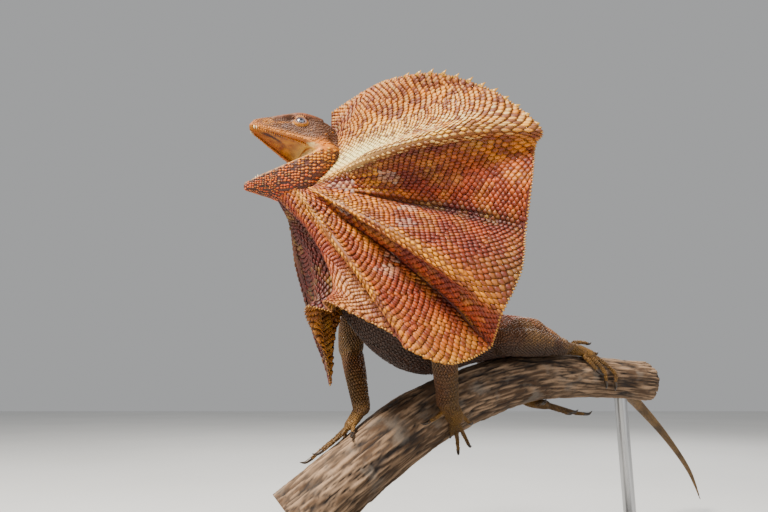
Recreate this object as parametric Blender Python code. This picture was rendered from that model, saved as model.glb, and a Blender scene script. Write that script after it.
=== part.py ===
"""A frilled lizard with its mouth open and its frill raised, standing along a cut length of branch.

The model is still and life size. Everything is worked out in millimetres and scaled to metres when
a mesh is made. The origin is the centre of the underside of the display base, +Z is up, the animal
faces -X and the viewer's side is -Y. The head and the frill are worked out in a frame of their own:
f runs forward along the head, l to the animal's left and u up through the crown.
"""

import math
import random

import bmesh
import bpy
from mathutils import Vector, noise

# Driving dimensions, in millimetres and degrees.
MM = 0.001
GAP = 0.3
HUB = Vector((-123.9, -51.7, 257.3))
HEAD_YAW = 30.0
HEAD_ROLL = 11.0
JAW_LENGTH = 41.0
MOUTH_CORNER = (-2.7, 4.6)
UPPER_LIP_SLOPE = 0.36
LOWER_LIP_SLOPE = -0.53
EYE_AT = (10.2, 10.5, 22.2)
EYE_RADIUS = 3.8
LID_RADIUS = 3.2
LID_THICKNESS = 1.0
LID_SIDES = 12
NOSTRIL_AT = (29.5, 6.2, 23.4)
TOOTH_LENGTH = 1.0
FANG_LENGTH = 1.8
TOOTH_RADIUS = 0.7
SKIN_THICKNESS = 1.1
RIM_TOOTH_LENGTH = 4.2
RIM_TOOTH_PEAK = 8.0
RIM_TOOTH_SPREAD = 6.5
BASE_LENGTH = 300.0
BASE_WIDTH = 180.0
BASE_THICKNESS = 14.0
BASE_BEVEL = 4.0
ROD_RADIUS = 4.5

FORWARD = Vector((-math.cos(math.radians(HEAD_YAW)), -math.sin(math.radians(HEAD_YAW)), 0.0))
LEVEL_LEFT = Vector((0.0, 0.0, 1.0)).cross(FORWARD)
LEFT = (LEVEL_LEFT * math.cos(math.radians(HEAD_ROLL))
        + Vector((0.0, 0.0, 1.0)) * math.sin(math.radians(HEAD_ROLL)))
CROWN = FORWARD.cross(LEFT)

# The perch's centre line, from the cut end in front to the cut end behind: x, y, z, radius.
PERCH_LINE = (
    (-131, -27, 48, 20.5),
    (-100, -17, 73.5, 20.0),
    (-59, -1, 103.5, 19.5),
    (-18, 15, 122, 18.0),
    (25, 37, 132, 17.0),
    (72, 59, 133, 14.8),
    (126, 82, 130, 14.8),
)

# Body sections along the spine: x, y, z, half width, rise above and drop below the centre.
TORSO_LINE = (
    (-94, -31, 193, 17, 17, 17),
    (-85, -25, 182, 23, 20, 23),
    (-68, -14, 168, 26, 21, 27),
    (-49, -2, 160, 27, 20, 27),
    (-22, 14, 158, 24, 18, 17),
    (0, 27, 160, 21, 16, 15),
    (20, 39, 162, 19, 13, 12.5),
    (36, 50, 160, 15, 10, 10.5),
    (47, 58, 157, 11, 8.5, 9),
)
NECK_LINE = (
    (-113, -45, 265, 13, 12, 12),
    (-108, -42, 254, 15, 15, 15),
    (-102, -37, 237, 16, 17, 16),
    (-97, -33, 217, 16, 17, 17),
    (-91, -29, 199, 18, 18, 18),
    (-84, -24, 184, 20, 18, 18),
)
TAIL_LINE = (
    (44, 56, 157.5, 11, 9, 9),
    (62, 72, 150, 10.5, 9.2, 9.5),
    (84, 91, 139, 9.2, 8.6, 8.6),
    (106, 118, 135, 7.6, 7.4, 7.4),
    (130, 144, 126, 6.1, 6.0, 6.0),
    (159, 177, 109, 4.8, 4.8, 4.8),
    (196, 209, 78, 3.5, 3.5, 3.5),
    (228, 237, 44, 2.4, 2.4, 2.4),
    (245, 254, 13.5, 0.9, 0.9, 0.9),
)
TAIL_CUTS = (0.0, 2.3, 4.4, 6.1, 8.0)

# Head sections: f, half width, height of the brow, depth under the lip plane (0 where the mouth opens).
HEAD_LINE = (
    (-19, 11.0, 24.0, 9.0),
    (-13, 15.6, 30.0, 15.0),
    (-6, 18.6, 32.6, 13.0),
    (1, 18.2, 33.6, 4.0),
    (8, 15.6, 33.2, 0.0),
    (16, 12.6, 31.6, 0.0),
    (24, 9.4, 29.8, 0.0),
    (31, 6.4, 27.6, 0.0),
    (35.5, 4.4, 25.4, 0.0),
    (38.0, 2.4, 22.8, 0.0),
)
# Lower jaw sections: f, half width, depth of the jaw under its lip.
JAW_LINE = (
    (-7, 17.4, 21.0),
    (0, 18.0, 27.0),
    (8, 15.8, 27.0),
    (17, 12.8, 21.5),
    (26, 9.2, 15.0),
    (34, 5.8, 9.8),
    (39, 3.4, 6.6),
    (42, 1.8, 4.6),
)

# Each fold of the frill runs from the throat or the neck out to the rim. A row holds its name, its
# root (f, l, u), the rim's angle from the crown in degrees, its reach from the head's axis, how far
# back the rim lies, and how far the fold's middle bows forward and sideways.
FOLDS = (
    ("nape", (-14, 3, 21), 11, 38.5, 13, 0, 0),
    ("crest", (-15, 8, 18), 33, 53, 27, 1, 0),
    ("upper_1", (-13, 10, 14), 51, 63, 33, 3, -1),
    ("upper_2", (-11, 12, 9), 66, 78, 46, -6, 0),
    ("upper_3", (-9, 12, 2), 77, 88, 60, -4, 2),
    ("upper_4", (-5, 11, -8), 87, 97, 73, 4, 2),
    ("ridge_1", (3, 10, -17), 100, 108, 86, 21, -1),
    ("under_1", (4, 10, -18), 103, 100, 89, 5, 1),
    ("hollow_1", (5, 10, -18.5), 116, 109, 80, -5, -1),
    ("crease_1", (6, 9.5, -18.5), 128.5, 108, 83, -10, -2),
    ("slope_1", (7, 9, -19), 137, 127, 72, 2, -4),
    ("ridge_2", (8, 9, -19), 146, 136, 64, 11, -8),
    ("under_2", (9.5, 8.5, -19), 153, 136, 69, -2, -2),
    ("crease_2", (11, 8, -19), 157, 136, 70, -8, -2),
    ("lobe", (13, 7, -19), 158.5, 143, 46, 2, -2),
    ("ridge_4", (15, 6.5, -18.5), 160, 132, 26, 2, -4),
    ("crease_3", (19, 5, -18), 163.5, 118, 26, -9, 0),
    ("ridge_5", (24, 3.5, -17), 169, 95, -3, -11, 3),
    ("throat", (30, 0, -17), 180, 92, 8, -19, 0),
)
# On the right the skin between the two long folds is gathered up over the shoulder. These rims take
# the place of the left side's: angle, reach, distance back, bow forward and aside.
RIGHT_RIMS = {
    "crease_1": (127, 108, 88, -8, -5),
    "slope_1": (131, 112, 97, 0, -3),
    "ridge_2": (136, 108, 102, 8, -4),
    "under_2": (141, 100, 74, 4, -2),
    "crease_2": (148, 92, 44, 0, 0),
    "lobe": (154, 100, 31, 2, 0),
    "crease_3": (165, 114, 16, -6, 0),
    "ridge_5": (169, 88, -1, -11, 3),
}
# The frill's solid is a sheet of this many columns and rows on each side, split into panels.
FRILL_COLUMNS = 45
FRILL_ROWS = 8
PANEL_CUTS = (0, 13, 24, 36, 45)
PANEL_NAMES = ("upper", "side", "lower", "throat")

FINGER = 1.9
TOE = 2.1
LEFT_SHOULDER = Vector((-74, -40, 179))
LEFT_ELBOW = Vector((-44, -40, 150))
RIGHT_SHOULDER = Vector((-92, -8, 180))
RIGHT_ELBOW = Vector((-101, 5, 151))
LEFT_HIP = Vector((26, 33, 162))
LEFT_KNEE = Vector((0, 3, 155))
LEFT_ANKLE = Vector((49, 35, 154))
RIGHT_HIP = Vector((14, 50, 162))
RIGHT_KNEE = Vector((0, 76, 150))
SHOULDER_LINE = ((*RIGHT_SHOULDER, 11, 11), (*RIGHT_ELBOW, 8.5, 8.5))

MATERIALS = {
    "head": (0.21, 0.13, 0.085, 0.6),
    "jaw": (0.36, 0.17, 0.07, 0.6),
    "frill": (0.56, 0.24, 0.07, 0.6),
    "back": (0.40, 0.20, 0.10, 0.6),
    "limb": (0.33, 0.23, 0.12, 0.6),
    "tail": (0.42, 0.32, 0.19, 0.6),
    "tongue": (0.62, 0.33, 0.20, 0.4),
    "eye": (0.45, 0.43, 0.38, 0.1),
    "bark": (0.16, 0.14, 0.12, 0.9),
    "stand": (0.03, 0.03, 0.03, 0.5),
    "rod": (0.45, 0.45, 0.45, 0.35),
}


def clear_scene():
    for old in list(bpy.data.objects):
        bpy.data.objects.remove(old, do_unlink=True)


def collection_named(name):
    collection = bpy.data.collections.new(name)
    bpy.context.scene.collection.children.link(collection)
    return collection


def material_named(name):
    if name in bpy.data.materials:
        return bpy.data.materials[name]
    red, green, blue, rough = MATERIALS[name]
    material = bpy.data.materials.new(name)
    material.use_nodes = True
    shader = material.node_tree.nodes["Principled BSDF"]
    shader.inputs["Base Color"].default_value = (red, green, blue, 1.0)
    shader.inputs["Roughness"].default_value = rough
    shader.inputs["Metallic"].default_value = 1.0 if name == "rod" else 0.0
    return material


def head_point(f, l, u):
    """A point of the head's own frame, in world millimetres."""
    return HUB + FORWARD * f + LEFT * l + CROWN * u


def smooth_row(rows, at):
    """The row of numbers at a fractional place along a table, on a curve through all its rows."""
    last = len(rows) - 1
    at = min(max(at, 0.0), float(last))
    low = min(int(at), last - 1)
    t = at - low
    before = rows[max(low - 1, 0)]
    first = rows[low]
    second = rows[low + 1]
    after = rows[min(low + 2, last)]
    return [
        0.5 * (2 * b + (c - a) * t + (2 * a - 5 * b + 4 * c - d) * t * t
               + (3 * b - a - 3 * c + d) * t * t * t)
        for a, b, c, d in zip(before, first, second, after)
    ]


def oval(angle, half_width, rise, drop, power):
    """A point of a rounded section: power 2 is an ellipse, and more is squarer."""
    across = math.cos(angle)
    upward = math.sin(angle)
    x = math.copysign(abs(across) ** (2 / power), across) * half_width
    z = math.copysign(abs(upward) ** (2 / power), upward) * (rise if upward >= 0 else drop)
    return x, z


def mesh_from_rings(rings, start_pole=None, end_pole=None):
    """A closed mesh through rings of equal count, shut by a fan of triangles at each end."""
    bm = bmesh.new()
    loops = [[bm.verts.new(point) for point in ring] for ring in rings]
    count = len(loops[0])
    for first, second in zip(loops, loops[1:]):
        for i in range(count):
            j = (i + 1) % count
            bm.faces.new((first[i], first[j], second[j], second[i]))
    for loop, pole in ((loops[0], start_pole), (loops[-1], end_pole)):
        if pole is None:
            pole = sum((vert.co for vert in loop), Vector()) / count
        centre = bm.verts.new(pole)
        for i in range(count):
            bm.faces.new((loop[i], loop[(i + 1) % count], centre))
    bmesh.ops.triangulate(bm, faces=bm.faces, quad_method="FIXED")
    bmesh.ops.recalc_face_normals(bm, faces=bm.faces)
    if bm.calc_volume(signed=True) < 0:
        bmesh.ops.reverse_faces(bm, faces=bm.faces)
    return bm


def tube(rows, rings, sides, grow=0.0, power=2.0, start_cap=1.0, end_cap=1.0, crown=None,
         start=0.0, end=None, relief=None, steps=2):
    """A body of oval sections along a smooth line.

    Rows hold x, y, z, half width, rise and drop. A cap value of 0 leaves a flat end, and 1 rounds it
    to half a ball. `grow` swells the whole by that many millimetres.
    """
    crown = crown or Vector((0.0, 0.0, 1.0))
    end = len(rows) - 1 if end is None else end
    places = [start + (end - start) * i / (rings - 1) for i in range(rings)]
    sections = []
    for at in places:
        row = smooth_row(rows, at)
        behind = Vector(smooth_row(rows, at - 0.05)[:3])
        ahead = Vector(smooth_row(rows, at + 0.05)[:3])
        along = (ahead - behind).normalized()
        side = along.cross(crown).normalized()
        sections.append((Vector(row[:3]), along, side, side.cross(along).normalized(), row[3:], at))
    loops = []

    def add_ring(section, shift, scale):
        centre, along, side, up, (half_width, rise, drop), at = section
        ring = []
        for i in range(sides):
            angle = 2 * math.pi * i / sides
            x, z = oval(angle, half_width + grow, rise + grow, drop + grow, power)
            bump = relief(at, angle) if relief else 1.0
            ring.append(centre + along * shift + (side * x + up * z) * scale * bump)
        loops.append(ring)

    reach = sum(sections[0][4][1:]) / 2 * start_cap + grow
    if start_cap:
        for k in range(steps):
            bend = math.pi / 2 * (k + 0.6) / (steps + 0.6)
            add_ring(sections[0], -reach * math.cos(bend), math.sin(bend))
    start_pole = sections[0][0] - sections[0][1] * (reach if start_cap else grow)
    for section in sections:
        shift = 0.0
        if section is sections[0] and not start_cap:
            shift = -grow
        if section is sections[-1] and not end_cap:
            shift = grow
        add_ring(section, shift, 1.0)
    reach = sum(sections[-1][4][1:]) / 2 * end_cap + grow
    if end_cap:
        for k in reversed(range(steps)):
            bend = math.pi / 2 * (k + 0.6) / (steps + 0.6)
            add_ring(sections[-1], reach * math.cos(bend), math.sin(bend))
    end_pole = sections[-1][0] + sections[-1][1] * (reach if end_cap else grow)
    return mesh_from_rings(loops, start_pole, end_pole)


def solid(name, bm, collection, material):
    """An object in metres from a mesh in millimetres."""
    bmesh.ops.scale(bm, vec=(MM, MM, MM), verts=bm.verts)
    mesh = bpy.data.meshes.new(name)
    bm.to_mesh(mesh)
    bm.free()
    body = bpy.data.objects.new(name, mesh)
    body.data.materials.append(material_named(material))
    if collection:
        collection.objects.link(body)
    return body


def apply_boolean(body, others, operation):
    """One Boolean modifier with a collection of closed meshes, applied to the object's own mesh."""
    group = collection_named("cutters")
    for other in others:
        group.objects.link(other)
    modifier = body.modifiers.new("join", "BOOLEAN")
    modifier.operation = operation
    modifier.solver = "MANIFOLD"
    modifier.operand_type = "COLLECTION"
    modifier.collection = group
    bpy.context.view_layer.update()
    evaluated = body.evaluated_get(bpy.context.evaluated_depsgraph_get())
    result = bpy.data.meshes.new_from_object(evaluated)
    body.modifiers.clear()
    old = body.data
    body.data = result
    bpy.data.meshes.remove(old)
    result.name = body.name
    for other in others:
        bpy.data.objects.remove(other, do_unlink=True)
    bpy.data.collections.remove(group)


def keep_largest(body):
    """Drop all but the largest closed surface."""
    bm = bmesh.new()
    bm.from_mesh(body.data)
    bmesh.ops.triangulate(bm, faces=bm.faces)
    waiting = set(bm.verts)
    groups = []
    while waiting:
        stack = [waiting.pop()]
        group = set(stack)
        while stack:
            for edge in stack.pop().link_edges:
                for vert in edge.verts:
                    if vert in waiting:
                        waiting.discard(vert)
                        group.add(vert)
                        stack.append(vert)
        groups.append(group)
    groups.sort(key=len, reverse=True)
    for group in groups[1:]:
        bmesh.ops.delete(bm, geom=list(group), context="VERTS")
    bm.to_mesh(body.data)
    bm.free()


def fuse(name, pieces, collection, material, cutters=()):
    """One closed solid: the union of the pieces, less every cutter."""
    body = solid(name, pieces[0], collection, material)
    if len(pieces) > 1:
        apply_boolean(body, [solid(name, piece, None, material) for piece in pieces[1:]], "UNION")
    if cutters:
        apply_boolean(body, [solid("cutter", cutter, None, material) for cutter in cutters],
                      "DIFFERENCE")
    keep_largest(body)
    body.name = name
    body.data.name = name
    body.data.shade_smooth()
    return body


def ball(centre, radius, segments=12, rings=8):
    bm = bmesh.new()
    bmesh.ops.create_uvsphere(bm, u_segments=segments, v_segments=rings, radius=radius)
    bmesh.ops.translate(bm, vec=centre, verts=bm.verts)
    return bm


# The perch


def bark_relief(at, angle):
    """Lengthwise furrows and broad swellings of the bark, as a factor on the radius."""
    twist = angle + 0.25 * at
    furrow = 0.035 * math.sin(5 * twist + 1.3 * math.sin(1.7 * at))
    knot = 0.05 * noise.noise(Vector((at * 1.3, math.cos(twist) * 1.2, math.sin(twist) * 1.2)))
    return 1.0 + furrow + knot


def perch_mesh(grow=0.0):
    rows = [(x, y, z, radius, radius, radius) for x, y, z, radius in PERCH_LINE]
    return tube(rows, 20, 15, grow, start_cap=0, end_cap=0, relief=bark_relief)


def perch_point(at, degrees, lift):
    """A point above the bark: `at` counts along the centre line, 0 degrees faces the viewer, 90 is up."""
    row = smooth_row(PERCH_LINE, at)
    behind = Vector(smooth_row(PERCH_LINE, at - 0.05)[:3])
    ahead = Vector(smooth_row(PERCH_LINE, at + 0.05)[:3])
    along = (ahead - behind).normalized()
    side = along.cross(Vector((0.0, 0.0, 1.0))).normalized()
    up = side.cross(along).normalized()
    angle = math.radians(degrees)
    bump = bark_relief(at, angle)
    return Vector(row[:3]) + (side * math.cos(angle) + up * math.sin(angle)) * (row[3] * bump + lift)


# The head


def upper_lip(f):
    """Height of the upper lip at a place along the head."""
    return MOUTH_CORNER[1] + UPPER_LIP_SLOPE * max(f - MOUTH_CORNER[0], 0.0)


def lower_lip(f):
    """Height of the lower lip at a place along the head."""
    return MOUTH_CORNER[1] + LOWER_LIP_SLOPE * max(f - MOUTH_CORNER[0], 0.0)


def head_mesh(grow=0.0):
    """The upper jaw and skull: flat brow, sloping cheeks, a lip round a hollow palate."""
    rings = []
    sides = 22
    for i in range(17):
        f, half_width, brow, below = smooth_row(HEAD_LINE, i * (len(HEAD_LINE) - 1) / 16)
        lip = upper_lip(f)
        hollow = min(max(f / 6.0, 0.0), 1.0) * min(2.6, half_width * 0.4)
        ring = []
        for k in range(sides):
            angle = 2 * math.pi * (k + 0.5) / sides
            if math.sin(angle) >= 0:
                x, z = oval(angle, half_width + grow, brow - lip + grow, 0, 2.35)
                narrow = 1.0 - 0.16 * min(z / max(brow - lip, 1.0), 1.0)
                z += lip
                x *= narrow
            else:
                x, z = oval(angle, half_width + grow, 0, below + 1.2 + grow, 2.6)
                inside = max(1.0 - (abs(x) / (half_width + grow) / 0.82) ** 4, 0.0)
                z = lip + z + hollow * 1.6 * inside
            ring.append(head_point(f, x, z))
        rings.append(ring)
    first = head_point(HEAD_LINE[0][0] - 3.0 - grow, 0, 15)
    last = head_point(HEAD_LINE[-1][0] + 1.6 + grow, 0, 20.6)
    return mesh_from_rings(rings, first, last)


def jaw_mesh(grow=0.0):
    """The lower jaw: a lip round a hollow floor, and a keel of throat skin under it."""
    rings = []
    sides = 20
    for i in range(13):
        f, half_width, depth = smooth_row(JAW_LINE, i * (len(JAW_LINE) - 1) / 12)
        lip = lower_lip(f)
        hollow = min(max((f - 4.0) / 6.0, 0.0), 1.0) * min(3.0, half_width * 0.35)
        ring = []
        for k in range(sides):
            angle = 2 * math.pi * (k + 0.5) / sides
            if math.sin(angle) >= 0:
                x, z = oval(angle, half_width + grow, 1.2 + grow, 0, 2.6)
                inside = max(1.0 - (abs(x) / (half_width + grow) / 0.82) ** 4, 0.0)
                z = lip + z - hollow * 1.6 * inside
            else:
                x, z = oval(angle, half_width + grow, 0, depth + grow, 1.9)
                z += lip
            ring.append(head_point(f, x, z))
        rings.append(ring)
    first = head_point(JAW_LINE[0][0] - 2.5 - grow, 0, -6)
    last = head_point(JAW_LINE[-1][0] + 1.2 + grow, 0, lower_lip(JAW_LENGTH) - 1.5)
    return mesh_from_rings(rings, first, last)


def lid_mesh(side):
    """The ring of lids round one eye, standing a little proud of the cheek."""
    f, l, u = EYE_AT
    outward = (LEFT * side * 0.93 + CROWN * 0.30 + FORWARD * 0.20).normalized()
    across = outward.cross(CROWN).normalized()
    upward = across.cross(outward).normalized()
    centre = head_point(f, l * side, u) + outward * 2.5
    rings = []
    for i in range(LID_SIDES):
        turn = 2 * math.pi * i / LID_SIDES
        spoke = across * math.cos(turn) * 1.12 + upward * math.sin(turn) * 0.92
        middle = centre + spoke * LID_RADIUS
        rings.append([
            middle + (spoke * math.cos(2 * math.pi * k / 5) + outward * math.sin(2 * math.pi * k / 5))
            * LID_THICKNESS for k in range(5)
        ])
    bm = bmesh.new()
    loops = [[bm.verts.new(point) for point in ring] for ring in rings]
    for i, loop in enumerate(loops):
        following = loops[(i + 1) % len(loops)]
        for k in range(5):
            m = (k + 1) % 5
            bm.faces.new((loop[k], loop[m], following[m], following[k]))
    bmesh.ops.recalc_face_normals(bm, faces=bm.faces)
    return bm


def eye_centre(side):
    f, l, u = EYE_AT
    return head_point(f, l * side, u)


def brow_mesh(side):
    """The bony ridge from above the eye to the nostril."""
    rows = []
    for f, l, u, thick in ((-4, 11.6, 27.4, 1.5), (4, 11.4, 28.2, 2.0), (11, 10.4, 28.2, 2.2),
                           (18, 8.3, 27.4, 1.7), (26, 5.6, 25.8, 1.3)):
        rows.append((*head_point(f, l * side, u), thick, thick, thick))
    return tube(rows, 6, 6, crown=CROWN, steps=1)


def nostril_cutter(side):
    f, l, u = NOSTRIL_AT
    return ball(head_point(f, l * side, u), 1.1, 8, 6)


def ear_cutter(side):
    return ball(head_point(-9.0, 20.6 * side, 13.0), 4.6, 12, 8)


def tooth_mesh(root, toward, length):
    """A small cone tooth of four sides with its root sunk in the jaw."""
    sunk = 0.8
    bm = bmesh.new()
    bmesh.ops.create_cone(bm, cap_ends=True, segments=4, radius1=TOOTH_RADIUS,
                          radius2=TOOTH_RADIUS * 0.2, depth=length + sunk)
    turn = toward.to_track_quat("Z", "Y").to_matrix()
    bmesh.ops.rotate(bm, cent=(0, 0, 0), matrix=turn, verts=bm.verts)
    bmesh.ops.translate(bm, vec=root + toward * (length - sunk) / 2, verts=bm.verts)
    return bm


def teeth_meshes(upper):
    """The fangs at the tip of a jaw and the small teeth behind them, along the inside of its lip."""
    rng = random.Random(11 if upper else 12)
    line = HEAD_LINE if upper else JAW_LINE
    lip = upper_lip if upper else lower_lip
    pieces = []
    for side in (1, -1):
        for number in range(5):
            f = 35.4 - 4.6 * number + rng.uniform(-0.5, 0.5)
            place = 0.0
            while place < len(line) - 1 and smooth_row(line, place)[0] < f:
                place += 0.05
            half_width = smooth_row(line, place)[1] * 0.84
            length = FANG_LENGTH if number == 0 else TOOTH_LENGTH * rng.uniform(0.8, 1.2)
            lift = -0.9 if upper else 0.9
            root = head_point(f, half_width * side, lip(f) + lift)
            pieces.append(tooth_mesh(root, -CROWN if upper else CROWN, length))
    return pieces


# The frill


def fold_point(fold, side, v):
    """A point along one fold, in the head's frame: v is 0 at the root and 1 at the rim."""
    name, (root_f, root_l, root_u), *rim = fold
    turn, reach, back, bow, aside = RIGHT_RIMS.get(name, rim) if side < 0 else rim
    angle = math.radians(turn)
    rim_l = reach * math.sin(angle)
    rim_u = reach * math.cos(angle)
    hump = 5.38 * v ** 1.5 * (1 - v)
    f = root_f + (-back - root_f) * v + bow * hump
    l = root_l + (rim_l - root_l) * v + math.cos(angle) * aside * hump
    u = root_u + (rim_u - root_u) * v - math.sin(angle) * aside * hump
    return f, l * side, u


def frill_row(side, v):
    return [fold_point(fold, side, v) for fold in FOLDS]


def clear_of_body(point):
    """The skin drapes over the neck, chest and shoulders instead of passing through them."""
    for line in (NECK_LINE, TORSO_LINE[:5], SHOULDER_LINE):
        for first, second in zip(line, line[1:]):
            a = Vector(first[:3])
            b = Vector(second[:3])
            t = min(max((point - a).dot(b - a) / (b - a).length_squared, 0.0), 1.0)
            nearest = a.lerp(b, t)
            radius = max(first[3] + (second[3] - first[3]) * t,
                         first[4] + (second[4] - first[4]) * t) + 3.0
            away = point - nearest
            if away.length < radius:
                point = nearest + away * (radius / max(away.length, 0.1))
    return point


def frill_point(side, at, v):
    """A world point of the frill: `at` counts along the folds, v runs from root to rim."""
    f, l, u = smooth_row(frill_row(side, v), at)
    point = head_point(f, l, u)
    if v > 0.3:
        point = clear_of_body(point)
    return point


def frill_sheet(side):
    """The frill's middle surface as columns of points from root to rim, with its folds eased."""
    last = len(FOLDS) - 1
    sheet = []
    for i in range(FRILL_COLUMNS + 1):
        at = last * i / FRILL_COLUMNS
        sheet.append([frill_point(side, at, (k / FRILL_ROWS) ** 0.9) for k in range(FRILL_ROWS + 1)])
    for turn in range(3):
        eased = [list(column) for column in sheet]
        for i in range(1, FRILL_COLUMNS):
            for k in range(FRILL_ROWS):
                beside = (sheet[i - 1][k] + sheet[i + 1][k]) / 2
                eased[i][k] = sheet[i][k].lerp(beside, 0.5 if k < 3 else 0.3)
        sheet = eased
    return sheet


def frill_panel(side, sheet, start, end):
    """A closed shell between two columns of the frill's sheet, with teeth along its rim."""
    columns = end - start
    rows = FRILL_ROWS
    middle = []
    normals = []
    for i in range(start, end + 1):
        before = sheet[max(i - 1, 0)]
        after = sheet[min(i + 1, FRILL_COLUMNS)]
        line = []
        facing = []
        for k in range(rows + 1):
            here = sheet[i][k]
            along = after[k] - before[k]
            outward = sheet[i][min(k + 1, rows)] - sheet[i][max(k - 1, 0)]
            normal = along.cross(outward)
            if i == FRILL_COLUMNS:
                normal -= LEFT * normal.dot(LEFT)
                here = here + LEFT * side * GAP / 2
            elif i == start and start > 0:
                here = here + along.normalized() * GAP / 2
            elif i == end:
                here = here - along.normalized() * GAP / 2
            facing.append(normal.normalized())
            line.append(here)
        middle.append(line)
        normals.append(facing)
    bm = bmesh.new()
    sheets = []
    for sign in (1, -1):
        sheet = []
        for line, facing in zip(middle, normals):
            column = []
            for k, (here, normal) in enumerate(zip(line, facing)):
                half = SKIN_THICKNESS / 2 * (1.0 - 0.35 * (k / rows) ** 2)
                column.append(bm.verts.new(here + normal * half * sign))
            sheet.append(column)
        sheets.append(sheet)
    front, back = sheets
    for i in range(columns):
        for k in range(rows):
            for sheet in sheets:
                a, b = sheet[i][k], sheet[i + 1][k]
                c, d = sheet[i + 1][k + 1], sheet[i][k + 1]
                if (i + k) % 2:
                    bm.faces.new((a, b, c))
                    bm.faces.new((a, c, d))
                else:
                    bm.faces.new((a, b, d))
                    bm.faces.new((b, c, d))
    rim = []
    for i in range(columns):
        bm.faces.new((front[i][0], front[i + 1][0], back[i + 1][0], back[i][0]))
        rim.append(bm.faces.new((front[i][rows], front[i + 1][rows], back[i + 1][rows], back[i][rows])))
    for k in range(rows):
        bm.faces.new((front[0][k], front[0][k + 1], back[0][k + 1], back[0][k]))
        bm.faces.new((front[columns][k], front[columns][k + 1], back[columns][k + 1],
                      back[columns][k]))
    bmesh.ops.recalc_face_normals(bm, faces=bm.faces)
    if bm.calc_volume(signed=True) < 0:
        bmesh.ops.reverse_faces(bm, faces=bm.faces)
    rng = random.Random(start * 10 + (1 if side > 0 else 2))
    for i, face in enumerate(rim):
        size = math.exp(-((start + i + 0.5 - RIM_TOOTH_PEAK) / RIM_TOOTH_SPREAD) ** 2)
        length = RIM_TOOTH_LENGTH * size * rng.uniform(0.8, 1.2)
        if i % 2 == 0 and length > 1.0:
            outward = (middle[i][rows] - middle[i][rows - 1]).normalized()
            tip = face.calc_center_median() + outward * length
            corner_ring = list(face.verts)
            bm.faces.remove(face)
            peak = bm.verts.new(tip)
            for k in range(4):
                bm.faces.new((corner_ring[k], corner_ring[(k + 1) % 4], peak))
    bmesh.ops.recalc_face_normals(bm, faces=bm.faces)
    if bm.calc_volume(signed=True) < 0:
        bmesh.ops.reverse_faces(bm, faces=bm.faces)
    return bm


# The limbs


def perch_path(*stops):
    return [perch_point(*stop) for stop in stops]


def limb_rows(points, radii, flatten=1.0):
    return [(*point, radius, radius * flatten, radius * flatten) for point, radius in zip(points, radii)]


def digit_meshes(points, radius, claw):
    """One toe along its points, and its curved claw."""
    count = len(points)
    radii = [radius * (1.0 - 0.22 * k / (count - 1)) for k in range(count)]
    toe = tube(limb_rows(points, radii), count, 6, start_cap=0, steps=1)
    tip = Vector(points[-1])
    along = (tip - Vector(points[-2])).normalized()
    down = (Vector(points[-1]) - Vector(points[-2])).cross(Vector((0, 0, 1))).cross(along)
    if down.length > 1e-6:
        down.normalize()
    base = tip - along * radius * 0.5
    curve = [base, base + along * claw * 0.8 + down * claw * 0.1,
             base + along * claw * 1.25 + down * claw * 0.5]
    nail = tube(limb_rows(curve, [radius * 0.62, radius * 0.45, 0.22]), 3, 4, start_cap=0, steps=0)
    return [toe, nail]


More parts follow.
